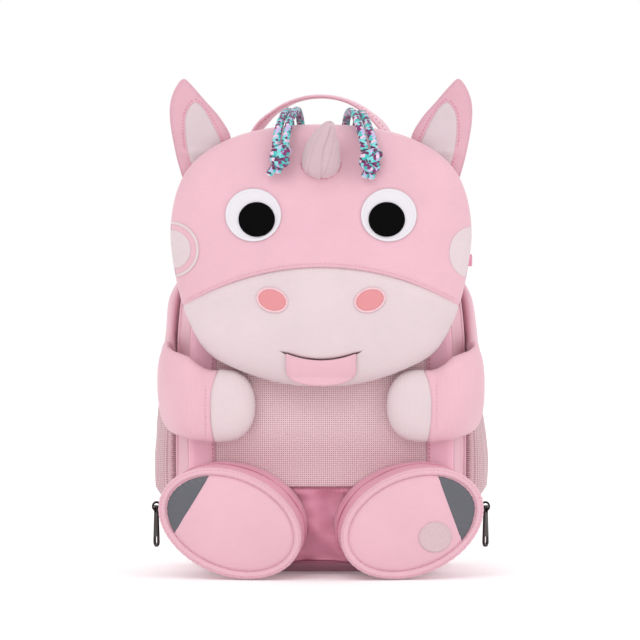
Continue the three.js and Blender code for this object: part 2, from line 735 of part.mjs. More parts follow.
function makeFeet() {
  const pipeLong = footLong - footPipeRadius;
  const pipeShort = footShort - footPipeRadius;
  for (const [hand, side] of leftRight) {
    const gussetRing = (share, inset) => footRing(
      side, share, footLong * footTaper(share) - inset, footShort * footTaper(share) - inset,
    );
    const gussetEnd = 1 - (footPipeRadius + seamGap) / footDepth;
    add(`foot_gusset_${hand}`, loft([
      gussetRing(0, 0), gussetRing(gussetEnd / 2, -footGussetSwell), gussetRing(gussetEnd, 0),
      gussetRing(gussetEnd, footWall), gussetRing(gussetEnd / 2, footWall - footGussetSwell),
      gussetRing(0, footWall),
    ], true), fabric(deepPink));

    const pipeSides = 6;
    const pipe = Array.from({ length: pipeSides }, (_, k) => {
      const angle = (k / pipeSides) * Math.PI * 2;
      const grow = Math.cos(angle) * footPipeRadius;
      return footRing(side, 1, pipeLong + grow, pipeShort + grow, Math.sin(angle) * footPipeRadius);
    });
    add(`foot_piping_${hand}`, loft(pipe, true), fabric(pink));

    const lidLong = pipeLong - footPipeRadius - seamGap;
    const lidShort = pipeShort - footPipeRadius - seamGap;
    const lidRing = (share, forward) => footRing(side, 1, lidLong * share, lidShort * share, forward);
    const lidFront = [
      footPoint(side, footLidDome), lidRing(0.55, footLidDome * 0.9),
      lidRing(0.86, footLidDome * 0.55), lidRing(1, 0),
    ];
    add(`foot_lid_${hand}`, loft([
      ...lidFront, lidRing(0.97, -footLidEdge - footLidThickness * 0.4), footPoint(side, -footLidThickness),
    ]), fabric(pink));

    const [topShare, footShare] = reflectorChords[hand];
    const chordTop = [side * (footAcross + footLong * topShare), footMiddleHeight + footShort * 1.2];
    const chordFoot = [side * (footAcross + footLong * footShare), footMiddleHeight - footShort * 0.6];
    const farSide = side * (footAcross + footLong * 1.3);
    const soleReach = [frontFace - footDepth * 1.6, frontFace];
    const outline = [chordTop, chordFoot, [farSide, chordFoot[1]], [farSide, chordTop[1]]];
    const corner = uprightPrism(outline, ...soleReach);
    const reflector = layer(lidFront, patchGap, reflectorThickness, corner);
    add(`foot_reflector_${hand}`, reflector, fabric("#6b6a6f", 0.5));
    if (side > 0) {
      const badgePlace = [footAcross + footLong * 0.31, footMiddleHeight - footShort * 0.27];
      const badge = ellipseOutline(...badgePlace, badgeWide, badgeTall);
      const badgeDisc = uprightPrism(badge, ...soleReach);
      add("foot_badge", layer(lidFront, patchGap, reflectorThickness, badgeDisc), fabric("#e8ccd2"));
    }
    makeFootZipPull(hand, side);
  }
}

// The zip slider on the outer side of a foot, with a bail that the pull tab's eye hangs in.
function makeFootZipPull(hand, side) {
  const turned = (yaw) => new THREE.Vector3(side * Math.cos(yaw), -Math.sin(yaw), 0);
  const upright = (outwards, place) => {
    const hinge = new THREE.Vector3().crossVectors(outwards, new THREE.Vector3(0, 0, 1));
    return new THREE.Matrix4().makeBasis(hinge, outwards, new THREE.Vector3(0, 0, 1)).setPosition(place);
  };
  const frontEdge = sliderShare + sliderWidth / 2 / footDepth;
  const reach = [footLong, footShort].map((half) => half * footTaper(frontEdge) + footGussetSwell / 2);
  const outermost = Math.max(...footRing(side, frontEdge, ...reach).map((p) => Math.abs(p.x)));
  const seatDepth = footStart - footDepth * sliderShare + footSeatBack;
  const seat = new THREE.Vector3(side * outermost, seatDepth, pullHeight);
  const plateMiddle = seat.clone().addScaledVector(turned(0), seamGap + sliderPlate / 2);
  const pivot = seat.clone().addScaledVector(turned(0), seamGap + sliderPlate + bailInner);

  const bail = new THREE.TorusGeometry(bailInner + bailWire / 2, bailWire / 2, 6, 12);
  bail.rotateY(Math.PI / 2);
  const plate = new THREE.BoxGeometry(sliderWidth, sliderPlate, sliderLength);
  const slider = toSolid(bail.applyMatrix4(upright(turned(pullYaw), pivot)))
    .add(toSolid(plate.applyMatrix4(upright(turned(0), plateMiddle))));
  add(`foot_slider_${hand}`, toGeometry(slider), metal("#3a3634"));

  // The tab's eye runs from the pivot down past the bail, and a slot is cut near its end.
  const barHalf = pullThickness / 2;
  const eyeEnd = -(bailInner + bailWire + pullEyeClearance);
  const eyeHalf = bailWire / 2 + pullEyeClearance;
  const neckHalf = eyeHalf + 1.2;
  const half = pullWidth / 2;
  const tabEnd = -pullLength + half;
  const outline = new THREE.Shape();
  outline.moveTo(-neckHalf, barHalf);
  outline.lineTo(-neckHalf, eyeEnd - 1.4);
  outline.lineTo(-half, tabEnd);
  outline.absarc(0, tabEnd, half, Math.PI, Math.PI * 2, false);
  outline.lineTo(neckHalf, eyeEnd - 1.4);
  outline.lineTo(neckHalf, barHalf);
  const eye = new THREE.Path([
    new THREE.Vector2(-eyeHalf, -barHalf), new THREE.Vector2(-eyeHalf, eyeEnd),
    new THREE.Vector2(eyeHalf, eyeEnd), new THREE.Vector2(eyeHalf, -barHalf),
  ]);
  const slotHalf = half * 0.52;
  const slot = new THREE.Path();
  slot.moveTo(-slotHalf, tabEnd + slotHalf * 1.8);
  slot.lineTo(-slotHalf, tabEnd);
  slot.absarc(0, tabEnd, slotHalf, Math.PI, Math.PI * 2, false);
  slot.lineTo(slotHalf, tabEnd + slotHalf * 1.8);
  outline.holes.push(eye, slot);
  const tabSizes = { depth: pullThickness, bevelEnabled: false, curveSegments: 6 };
  const tab = new THREE.ExtrudeGeometry(outline, tabSizes);
  tab.translate(0, 0, -pullThickness / 2);
  tab.rotateX(Math.PI / 2);
  add(`foot_pull_${hand}`, tab.applyMatrix4(upright(turned(pullYaw), pivot)), metal("#4a3436"));
}

// Net pockets: cloth that bellies out between its seams and is open at the top.
function makeNets() {
  const columns = 10;
  const rows = 5;
  const climb = (up) => Math.min(1, Math.max(0, up) * 4.5) ** 0.6;
  const belly = (across, up) => Math.sqrt(Math.max(0, 1 - across ** 4)) * climb(up);
  const grid = (place) => Array.from({ length: columns + 1 }, (_, u) => (
    Array.from({ length: rows + 1 }, (_, v) => place(mix(-1, 1, u / columns), v / rows))
  ));
  // The net is flat where the feet cover it
  const netFlatShare = (footMiddleHeight * 2 + footBaseRise - netBottom) / (netTop - netBottom);
  const frontNet = (lift) => grid((across, v) => {
    const up = v === 0 ? 0 : mix(netFlatShare, 1, (v * rows - 1) / (rows - 1));
    const out = seamGap + lift + netBulge * belly(across, up - netFlatShare);
    return new THREE.Vector3(across * netHalfWidth, frontFace - out, mix(netBottom, netTop, up));
  });
  add("front_net", sheet(frontNet(netThickness), frontNet(0)), fabric(netPink));

  const depthMiddle = (sideNetFront + sideNetRear) / 2;
  const depthHalf = (sideNetRear - sideNetFront) / 2;
  for (const [hand, side] of leftRight) {
    const sideNet = (lift) => grid((across, up) => {
      const z = mix(sideNetBottom, sideNetTop, up);
      const gather = 1 - 0.35 * up ** 3;
      const out = bagHalfWidth(z) + seamGap * 2 + lift + sideNetBulge * belly(across, up) * gather;
      return new THREE.Vector3(side * out, depthMiddle + across * depthHalf, z);
    });
    add(`side_net_${hand}`, sheet(sideNet(netThickness), sideNet(0)), fabric(netPink));
  }
}

// Handle: half of its curve, as shares of its span and rise, and its turn towards the front in radians
const handleRows = [
  { out: 1, rise: 0, turn: 0 }, { out: 0.89, rise: 0.28, turn: 0.12 },
  { out: 0.77, rise: 0.53, turn: 0.16 }, { out: 0.54, rise: 0.79, turn: 0.08 },
  { out: 0.28, rise: 0.95, turn: 0.03 }, { out: 0, rise: 1, turn: 0 },
];

// Rings of a flat band along the handle's curve, between two shares of its run.
function handleBand(from, to, stations, halfWidth, halfThickness) {
  const foot = bagTop(handleSpan) + handleHalfThickness + seamGap;
  const rise = bagHeight + handleRise - handleHalfThickness - foot;
  const place = (row, side) => (
    new THREE.Vector3(side * row.out * handleSpan, handleSetback, foot + row.rise * rise)
  );
  const mirrored = handleRows.slice(0, -1).reverse();
  const curve = new THREE.CatmullRomCurve3([
    ...handleRows.map((row) => place(row, -1)), ...mirrored.map((row) => place(row, 1)),
  ]);
  const turns = new THREE.CatmullRomCurve3([
    ...handleRows.map((row) => new THREE.Vector3(-row.turn, 0, 0)),
    ...mirrored.map((row) => new THREE.Vector3(row.turn, 0, 0)),
  ]);
  return Array.from({ length: stations + 1 }, (_, k) => {
    const share = mix(from, to, k / stations);
    const along = curve.getTangent(share);
    const flat = new THREE.Vector3(0, 1, 0).applyAxisAngle(along, turns.getPoint(share).x);
    const up = new THREE.Vector3().crossVectors(along, flat).normalize();
    return bandSection(curve.getPoint(share), flat, up, halfWidth, halfThickness);
  });
}

// The outline of a flat band with softened edges.
function bandSection(middle, flat, up, halfWidth, halfThickness) {
  const corners = [
    [1, 0.45], [0.84, 1], [-0.84, 1], [-1, 0.45], [-1, -0.45], [-0.84, -1], [0.84, -1], [1, -0.45],
  ];
  return corners.map(([w, t]) => (
    middle.clone().addScaledVector(flat, w * halfWidth).addScaledVector(up, t * halfThickness)
  ));
}

function makeHandle() {
  const gapShare = seamGap / (handleSpan * 2.6);
  const from = handleEndShare + gapShare;
  add("handle", loft(handleBand(from, 1 - from, 12, handleHalfWidth, handleHalfThickness)), fabric(pink));
  for (const [hand, side] of leftRight) {
    const ends = side < 0 ? [0, handleEndShare] : [1 - handleEndShare, 1];
    const webbing = handleBand(...ends, 2, handleHalfWidth * 0.9, handleHalfThickness * 0.6);
    add(`handle_end_${hand}`, loft(webbing), fabric("#6d666a"));
  }
}

// Shoulder strap: distance down the back, and distance from the back as a share of its standoff
const strapRows = [
  { down: 0, off: 0.02 }, { down: 0.06, off: 0.1 }, { down: 0.16, off: 0.56 }, { down: 0.36, off: 1 },
  { down: 0.6, off: 0.86 }, { down: 0.84, off: 0.4 }, { down: 0.94, off: 0.25 }, { down: 1, off: 0.24 },
];

function strapBand(rows, halfWidth, halfThickness, stations) {
  const curve = new THREE.CatmullRomCurve3(rows.map((r) => new THREE.Vector3(r.x, r.y, r.z)));
  return Array.from({ length: stations + 1 }, (_, k) => {
    const middle = curve.getPoint(k / stations);
    const along = curve.getTangent(k / stations);
    const flat = new THREE.Vector3(1, 0, 0).addScaledVector(along, -along.x).normalize();
    const out = new THREE.Vector3().crossVectors(along, flat).normalize();
    return bandSection(middle, flat, out, halfWidth, halfThickness);
  });
}

function makeStraps() {
  const near = backFace + strapHalfThickness + seamGap;
  for (const [hand, side] of leftRight) {
    const rows = strapRows.map((row) => ({
      x: side * mix(strapTopAcross, strapBottomAcross, row.down),
      y: near + row.off * strapStandoff,
      z: mix(strapTopHeight, strapBottomHeight, row.down),
    }));
    const strap = loft(strapBand(rows, strapHalfWidth, strapHalfThickness, 14));
    add(`shoulder_strap_${hand}`, strap, fabric(pink));
    const foot = rows.at(-1);
    const slotTop = strapBottomHeight - seamGap - strapEndDroop;
    const block = (halfWidth, top, bottom, halfDepth) => uprightPrism([
      [foot.x - halfWidth, top], [foot.x + halfWidth, top],
      [foot.x + halfWidth, bottom], [foot.x - halfWidth, bottom],
    ], foot.y - halfDepth, foot.y + halfDepth);
    const slotHeight = webbingHalfThickness * 4;
    const slotFrom = (top) => block(webbingHalfWidth + 1, top, top - slotHeight, buckleThickness);
    const buckle = block(buckleWidth / 2, slotTop, slotTop - buckleHeight, buckleThickness / 2)
      .subtract(slotFrom(slotTop - buckleBar))
      .subtract(slotFrom(slotTop - buckleHeight + buckleBar + slotHeight));
    add(`strap_buckle_${hand}`, toGeometry(buckle), fabric("#3c3a3c", 0.4));
    const webTop = slotTop - buckleHeight - seamGap;
    const nearWeb = backFace + webbingHalfThickness * 2 + seamGap;
    const webRows = [0, 0.08, 0.16, 0.45, 0.75, 1].map((share) => {
      const spread = Math.max(0, share - 0.12) / 0.88;
      return {
        x: side * mix(strapBottomAcross, webbingEndAcross, spread),
        y: mix(foot.y, nearWeb, spread), z: mix(webTop, webbingEndHeight, share),
      };
    });
    const webbing = strapBand(webRows, webbingHalfWidth, webbingHalfThickness, 8);
    add(`strap_webbing_${hand}`, loft(webbing), fabric(deepPink));
  }
}

// Hair: a cord loop on each main zip slider, tied in a knot over the forehead.
function makeHair() {
  const section = new THREE.Shape(Array.from({ length: cordSides }, (_, i) => {
    const angle = (i / cordSides) * Math.PI * 2;
    return new THREE.Vector2(Math.cos(angle) * cordRadius, Math.sin(angle) * cordRadius);
  }));
  for (const [name, route] of Object.entries(hairRoutes)) {
    const extrudePath = new THREE.CatmullRomCurve3(route.map((point) => new THREE.Vector3(...point)));
    const cord = new THREE.ExtrudeGeometry(section, { steps: 8, bevelEnabled: false, extrudePath });
    add(name, cord, fabric("#7a4b86"));
  }
  for (const [hand, side] of leftRight) {
    const ball = new THREE.SphereGeometry(1, 10, 6);
    ball.scale(knotWide, knotDeep, knotTall);
    let knot = toSolid(ball);
    for (const slant of [0.75, -0.1]) {
      const tail = new THREE.CylinderGeometry(knotTailRadius, knotTailRadius, knotTailLength, 6);
      tail.translate(0, -knotTall * 0.6 - knotTailLength / 2, 0);
      tail.rotateX(Math.PI / 2);
      tail.rotateY(slant);
      knot = knot.add(toSolid(tail));
    }
    const [knotX, knotZ] = hairKnotPlaces[hand];
    const knotY = hairRoutes[`hair_cord_${hand}_inner`].at(-1)[1];
    add(`hair_knot_${hand}`, toGeometry(knot).translate(knotX, knotY, knotZ), fabric("#7a4b86"));

    // The slider sits on the main zip and holds the cord's loop by a ring.
    const x = hairSliderAcross[hand];
    const y = zipStart + zipWidth / 2;
    const base = bagTop(Math.abs(x) - hairSliderWidth / 2) + seamGap;
    const plate = new THREE.BoxGeometry(hairSliderWidth, zipWidth * 0.8, hairSliderPlate);
    plate.translate(x, y, base + hairSliderPlate / 2);
    const ring = new THREE.TorusGeometry(hairRingRadius, hairRingWire, 5, 10);
    ring.rotateY(Math.PI / 2);
    ring.translate(x, y, base + hairSliderPlate + hairRingRadius - hairRingWire);
    add(`hair_slider_${hand}`, toGeometry(toSolid(plate).add(toSolid(ring))), metal("#55504e"));
  }
}

makeBody();
const face = makeFace();
makeEars();
makeHorn(face.head, face.front);
makeArms();
makeFeet();
makeNets();
makeHandle();
makeStraps();
makeHair();

// The origin is on the ground, below the middle of the backpack without its hair cords.
const outside = new THREE.Box3();
for (const mesh of backpack.children) {
  if (!/^hair_(cord|knot)/.test(mesh.name)) outside.expandByObject(mesh);
}
backpack.position.y = -outside.getCenter(new THREE.Vector3()).y;

export default backpack;
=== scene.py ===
# %% [markdown]
# # A child's unicorn backpack
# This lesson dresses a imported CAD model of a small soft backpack. The CAD model gives every piece its
# place and size in metres, and Blender gives each piece its seams, folds, stitches and cloth.

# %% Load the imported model
import bisect
import json
import math
import random

import bmesh
import bpy
from mathutils import Matrix, Vector, noise

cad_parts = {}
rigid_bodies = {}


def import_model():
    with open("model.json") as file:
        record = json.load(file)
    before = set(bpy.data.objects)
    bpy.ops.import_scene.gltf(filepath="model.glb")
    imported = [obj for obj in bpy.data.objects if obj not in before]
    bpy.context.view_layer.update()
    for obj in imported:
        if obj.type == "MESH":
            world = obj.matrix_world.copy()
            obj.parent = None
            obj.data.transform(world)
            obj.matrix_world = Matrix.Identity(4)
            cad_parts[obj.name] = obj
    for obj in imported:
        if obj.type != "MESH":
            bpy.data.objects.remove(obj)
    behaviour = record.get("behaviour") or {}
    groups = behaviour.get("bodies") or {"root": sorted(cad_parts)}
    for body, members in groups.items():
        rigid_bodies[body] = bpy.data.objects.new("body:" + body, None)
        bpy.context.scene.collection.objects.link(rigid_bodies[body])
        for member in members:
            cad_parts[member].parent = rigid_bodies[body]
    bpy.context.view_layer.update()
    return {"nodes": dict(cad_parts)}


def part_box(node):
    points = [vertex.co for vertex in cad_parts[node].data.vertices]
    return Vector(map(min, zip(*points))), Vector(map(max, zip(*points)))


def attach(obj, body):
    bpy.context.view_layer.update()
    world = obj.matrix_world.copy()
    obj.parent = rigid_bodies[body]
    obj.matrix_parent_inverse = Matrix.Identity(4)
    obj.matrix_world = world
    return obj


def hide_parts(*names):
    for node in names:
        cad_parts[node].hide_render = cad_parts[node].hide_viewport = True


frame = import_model()
print("CAD nodes:", len(frame["nodes"]))

# %% [markdown]
# The sizes below are in millimetres, measured from the middle of the bag's body, which is how a pattern
# cutter would note them. One helper turns such a place into metres in the frame. The back panel's own box
# gives the shift.

# %% Millimetres into the frame
bag_depth = 110
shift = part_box("back_panel")[1][1] * 1000 - bag_depth / 2


def at(x, y, z):
    return Vector((x, y + shift, z)) / 1000


print("shift along y: %.2f mm" % shift)

# %% [markdown]
# The picture was taken from far away with a long lens, a little above the middle of the object. A camera
# 3.5 m away and 2 degrees up gives the same flat view.

# %% Camera
view_distance = 3.5
view_height = math.radians(2.2)
view_width = 0.4416
target = Vector((-0.0007, -0.05, 0.1766))
camera = bpy.data.objects.new("camera", bpy.data.cameras.new("camera"))
bpy.context.scene.collection.objects.link(camera)
camera.location = target + view_distance * Vector((0, -math.cos(view_height), math.sin(view_height)))
camera.rotation_euler = (math.pi / 2 - view_height, 0, 0)
camera.data.sensor_width = 36
camera.data.lens = 36 * view_distance / view_width
bpy.context.scene.camera = camera
print("lens: %.0f mm" % camera.data.lens)

# %% [markdown]
# Every cloth panel here is a sheet with a rule for where each of its points lies. Blender's grid operator
# makes the sheet, and the rule moves its points. The same helper rolls a sheet into a tube or a pillow,
# because doubles are merged where two edges or a whole edge meet. The cloth's own width and length go in
# its UV map, in metres, so a weave keeps its scale.

# %% Sheets of cloth
def surface(columns, rows, place, cut=(100, 100), planar=False):
    bm = bmesh.new()
    bmesh.ops.create_grid(bm, x_segments=columns, y_segments=rows, size=0.5)
    share = {vert: (vert.co.x + 0.5, vert.co.y + 0.5) for vert in bm.verts}
    weave = bm.loops.layers.uv.new("weave")
    for vert, (u, v) in share.items():
        vert.co = at(*place(u, v))
    for face in bm.faces:
        for loop in face.loops:
            u, v = share[loop.vert]
            flat = (loop.vert.co.x, loop.vert.co.z) if planar else (u * cut[0] / 1000, v * cut[1] / 1000)
            loop[weave].uv = flat
    bmesh.ops.remove_doubles(bm, verts=bm.verts, dist=2e-6)
    return bm


def face_outwards(bm, middle):
    """Turns the faces away from a point, in millimetres."""
    core = at(*middle)
    lean = sum((f.calc_center_median() - core).dot(f.normal) * f.calc_area() for f in bm.faces)
    if lean < 0:
        bmesh.ops.reverse_faces(bm, faces=bm.faces)
    return bm


def closed(bm):
    """Fills a tube's open ends and turns all faces outwards."""
    bmesh.ops.holes_fill(bm, edges=[e for e in bm.edges if e.is_boundary], sides=0)
    bmesh.ops.recalc_face_normals(bm, faces=bm.faces)
    return bm


def mix(a, b, share):
    return a + (b - a) * share


def power(value, exponent):
    return math.copysign(abs(value) ** exponent, value)


def bump(distance, width):
    return math.exp(-((distance / width) ** 2))


hands = (("L", -1), ("R", 1))
print("helpers ready: surface, face_outwards, mix, power, bump")

# %% [markdown]
# A piece is finished the same way each time: its mesh is shaded smooth, gets a wall, a finish and a
# material slot, rides on a body of the model and stands for the CAD nodes that it replaces.

# %% Finished pieces
finishes = {}
made = []


def piece(name, bm, finish, body="bag", nodes=(), wall=0.0):
    bm.normal_update()
    mesh = bpy.data.meshes.new(name)
    bm.to_mesh(mesh)
    bm.free()
    mesh.shade_smooth()
    obj = bpy.data.objects.new(f"{name}_finished" if nodes else name, mesh)
    bpy.context.scene.collection.objects.link(obj)
    mesh.materials.append(finishes[finish])
    if wall:
        shell = obj.modifiers.new("wall", "SOLIDIFY")
        shell.thickness = wall / 1000
        shell.offset = -1
    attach(obj, body)
    if nodes:
        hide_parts(*nodes)
    made.append(name)
    return obj


print("helper ready: piece")

# %% [markdown]
# The cloth is a satin-woven polyester with a soft sheen. Fine crossing threads come from two wave textures on
# the UV map, and slow noise varies the colour. Constant values sit on the shader's own sockets.

# %% Cloth materials
def new_material(name):
    material = bpy.data.materials.new(name)
    material.use_nodes = True
    nodes = material.node_tree.nodes
    shader = nodes["Principled BSDF"]
    return material, nodes, material.node_tree.links, shader


def node(nodes, kind, **inputs):
    made_node = nodes.new(kind)
    for key, value in inputs.items():
        made_node.inputs[key.replace("_", " ")].default_value = value
    return made_node


def linear(colour):
    """A screen colour such as #f0c3ce as linear numbers."""
    parts = [int(colour[i:i + 2], 16) / 255 for i in (1, 3, 5)]
    return [p / 12.92 if p <= 0.04045 else ((p + 0.055) / 1.055) ** 2.4 for p in parts] + [1]


def darker(colour, share):
    return [c * share for c in linear(colour)[:3]] + [1]


def weave_map(nodes):
    uv = nodes.new("ShaderNodeUVMap")
    uv.uv_map = "weave"
    return uv


def ramp_of(nodes, low, low_colour, high, high_colour):
    """A colour ramp with two stops."""
    ramp = nodes.new("ShaderNodeValToRGB")
    ramp.color_ramp.elements[0].position = low
    ramp.color_ramp.elements[0].color = low_colour
    ramp.color_ramp.elements[1].position = high
    ramp.color_ramp.elements[1].color = high_colour
    return ramp


def keep_finish(name, parts, height, strength, distance, **sockets):
    """Ends a material: a height as bump, and values for the shader's sockets by name."""
    material, nodes, links, shader = parts
    relief = node(nodes, "ShaderNodeBump", Strength=strength, Distance=distance)
    links.new(height, relief.inputs["Height"])
    links.new(relief.outputs["Normal"], shader.inputs["Normal"])
    for key, value in sockets.items():
        shader.inputs[key.replace("_", " ")].default_value = value
    finishes[name] = material
    return relief


def cloth(name, colour, rough=0.62, sheen=0.3, pitch=0.55, relief=0.25, patchy=0.06, upper=None):
    """A cloth finish; upper is (height in metres, colour): the cloth takes that colour above the height, and
    its darker colour below it is painted shade.
    """
    parts = new_material(name)
    nodes, links, shader = parts[1:]
    uv = weave_map(nodes)
    waves = []
    for direction in ("X", "Y"):
        wave = node(nodes, "ShaderNodeTexWave", Scale=314 / pitch, Distortion=0.6, Detail=1.0)
        wave.bands_direction = direction
        links.new(uv.outputs["UV"], wave.inputs["Vector"])
        waves.append(wave)
    threads = nodes.new("ShaderNodeMath")
    threads.operation = "MULTIPLY"
    links.new(waves[0].outputs["Fac"], threads.inputs[0])
    links.new(waves[1].outputs["Fac"], threads.inputs[1])
    place = nodes.new("ShaderNodeTexCoord")
    slow = node(nodes, "ShaderNodeTexNoise", Scale=22, Detail=4, Roughness=0.6)
    links.new(place.outputs["Object"], slow.inputs["Vector"])
    streak_way = nodes.new("ShaderNodeMapping")
    streak_way.inputs["Scale"].default_value = (120, 1600, 1)
    links.new(uv.outputs["UV"], streak_way.inputs["Vector"])
    streaks = node(nodes, "ShaderNodeTexNoise", Scale=1, Detail=2)
    links.new(streak_way.outputs["Vector"], streaks.inputs["Vector"])
    uneven = nodes.new("ShaderNodeMath")
    uneven.operation = "MULTIPLY_ADD"
    uneven.inputs[1].default_value = 0.6
    links.new(streaks.outputs["Fac"], uneven.inputs[0])
    links.new(slow.outputs["Fac"], uneven.inputs[2])
    ramp = ramp_of(nodes, 0.45, darker(colour, 1 - patchy), 1.1, darker(colour, 1 + patchy * 0.5))
    links.new(uneven.outputs["Value"], ramp.inputs["Fac"])
    links.new(ramp.outputs["Color"], shader.inputs["Base Color"])
    # Painted shade: below the height in upper the cloth keeps the darker colour.
    if upper:
        split = nodes.new("ShaderNodeSeparateXYZ")
        links.new(place.outputs["Object"], split.inputs["Vector"])
        above = nodes.new("ShaderNodeMath")
        above.operation = "GREATER_THAN"
        above.inputs[1].default_value = upper[0]
        links.new(split.outputs["Z"], above.inputs[0])
        painted_shade_split = nodes.new("ShaderNodeMix")
        painted_shade_split.data_type = "RGBA"
        painted_shade_split.inputs["B"].default_value = linear(upper[1])
        links.new(above.outputs["Value"], painted_shade_split.inputs["Factor"])
        links.new(ramp.outputs["Color"], painted_shade_split.inputs["A"])
        links.new(painted_shade_split.outputs["Result"], shader.inputs["Base Color"])
    keep_finish(name, parts, threads.outputs["Value"], relief, 0.0003, Roughness=rough, Sheen_Weight=sheen,
                Sheen_Roughness=0.45, Specular_IOR_Level=0.35)


cloth("pink_satin", "#deafbc")
cloth("rose_satin", "#e09db3", rough=0.5, sheen=0.2)
# Painted shade: the front panel is darker below 61.5 mm, in the shade between the feet.
cloth("front_satin_painted_shade", "#db93ab", rough=0.36, sheen=0.2, upper=(0.0615, "#f3bed0"))
# Painted shade: the ears use a darker copy of pink_satin.
cloth("ear_pink_painted_shade", "#d4a3b1")
# Painted shade: the front gusset is dark below 11 mm, where the bag meets the floor.
cloth("gusset_satin_painted_shade", "#a5637b", upper=(0.011, "#deafbc"))
cloth("pale_satin", "#d7c5c9")
# Painted shade: the horn uses a darker copy of pale_satin.
cloth("horn_satin_painted_shade", "#c9adb5")
cloth("ear_satin", "#cdbcc1")
cloth("zip_tape", "#d98ca8", pitch=0.9, relief=0.5)
cloth("grey_webbing", "#5f5a5e", pitch=1.1, relief=0.8)
cloth("pink_webbing", "#dd93ac", pitch=1.4, relief=0.8)
cloth("reflective_tape", "#5c5d63", rough=0.35, sheen=0.0, pitch=0.5, relief=0.1)
print("cloths:", ", ".join(finishes))

# %% [markdown]
# The pockets are air mesh, a knit with rows of small holes. A nearly regular Voronoi pattern on the UV map
# gives the cells. Each cell's middle is a hole, pushed in, whose colour is the cloth behind with painted
# shade: it is darker than both the mesh and that cloth.

# %% Air mesh, thread, plain patch and metal
def air_mesh(name, colour, hole_shade_colour, pitch):
    parts = new_material(name)
    nodes, links, shader = parts[1:]
    uv = weave_map(nodes)
    cells = nodes.new("ShaderNodeTexVoronoi")
    cells.voronoi_dimensions = "2D"
    cells.inputs["Scale"].default_value = 1000 / pitch
    cells.inputs["Randomness"].default_value = 0.12
    links.new(uv.outputs["UV"], cells.inputs["Vector"])
    # Painted shade: the holes are much darker than the cloth that shows through them.
    holes = ramp_of(nodes, 0.18, linear(hole_shade_colour), 0.36, linear(colour))
    links.new(cells.outputs["Distance"], holes.inputs["Fac"])
    links.new(holes.outputs["Color"], shader.inputs["Base Color"])
    keep_finish(name, parts, cells.outputs["Distance"], 0.7, 0.0006, Roughness=0.75, Sheen_Weight=0.3)


def plain(name, colour, rough, metal=0.0, grain=900, depth=0.15, sheen=0.0):
    parts = new_material(name)
    nodes, links, shader = parts[1:]
    place = nodes.new("ShaderNodeTexCoord")
    fine = node(nodes, "ShaderNodeTexNoise", Scale=grain, Detail=3)
    links.new(place.outputs["Object"], fine.inputs["Vector"])
    ramp = ramp_of(nodes, 0.3, darker(colour, 0.86), 0.75, darker(colour, 1.08))
    links.new(fine.outputs["Fac"], ramp.inputs["Fac"])
    links.new(ramp.outputs["Color"], shader.inputs["Base Color"])
    keep_finish(name, parts, fine.outputs["Fac"], depth, 0.0002, Roughness=rough, Metallic=metal,
                Sheen_Weight=sheen)


# The second colour of each mesh is its holes' painted shade.
air_mesh("air_mesh", "#e4c6cb", "#a8747e", pitch=1.45)
air_mesh("side_mesh", "#d4b4b9", "#9d6f78", pitch=1.45)
plain("pink_thread", "#dda0b2", 0.6, sheen=0.2)
plain("rose_thread", "#d9829c", 0.6, sheen=0.2)
plain("nostril_edge", "#e6bcc4", 0.6, sheen=0.2)
plain("plain_patch", "#d0b4bb", 0.6, grain=1800)
plain("zip_metal", "#3b3432", 0.38, metal=0.85, depth=0.1)
plain("buckle_plastic", "#39383a", 0.5, grain=1500)
print("finishes:", len(finishes))

# %% [markdown]
# Embroidery is satin stitch: close parallel threads with a silky gloss. A wave on the UV map, across the
# threads, makes the fine ridges.

# %% Satin stitch
def embroidery(name, colour, pitch=0.45, rough=0.42, gloss=0.4):
    parts = new_material(name)
    nodes, links, shader = parts[1:]
    uv = weave_map(nodes)
    ridges = node(nodes, "ShaderNodeTexWave", Scale=314 / pitch, Distortion=1.2, Detail=2.0)
    ridges.inputs["Detail Scale"].default_value = 0.4
    links.new(uv.outputs["UV"], ridges.inputs["Vector"])
    # Painted shade: the colour darkens in the grooves between the threads, where the ridges are low.
    ramp = ramp_of(nodes, 0, darker(colour, 0.82), 0.5, darker(colour, 1.0))
    links.new(ridges.outputs["Fac"], ramp.inputs["Fac"])
    links.new(ramp.outputs["Color"], shader.inputs["Base Color"])
    keep_finish(name, parts, ridges.outputs["Fac"], 0.4, 0.0002, Roughness=rough, Specular_IOR_Level=gloss)


embroidery("white_embroidery", "#e5e0e6")
embroidery("black_embroidery", "#030304", rough=0.85, gloss=0.08)
embroidery("coral_embroidery", "#e09094")
print("embroidery ready")

# %% [markdown]
# The hair is four braided cords in two pairs. Each comes out of a ring on a zip slider, goes over the
# face and ends in its pair's knot. The cords come first, since a cord's length is fixed. Every cord
# follows the eight points that the CAD tube follows, joined by a smooth curve.

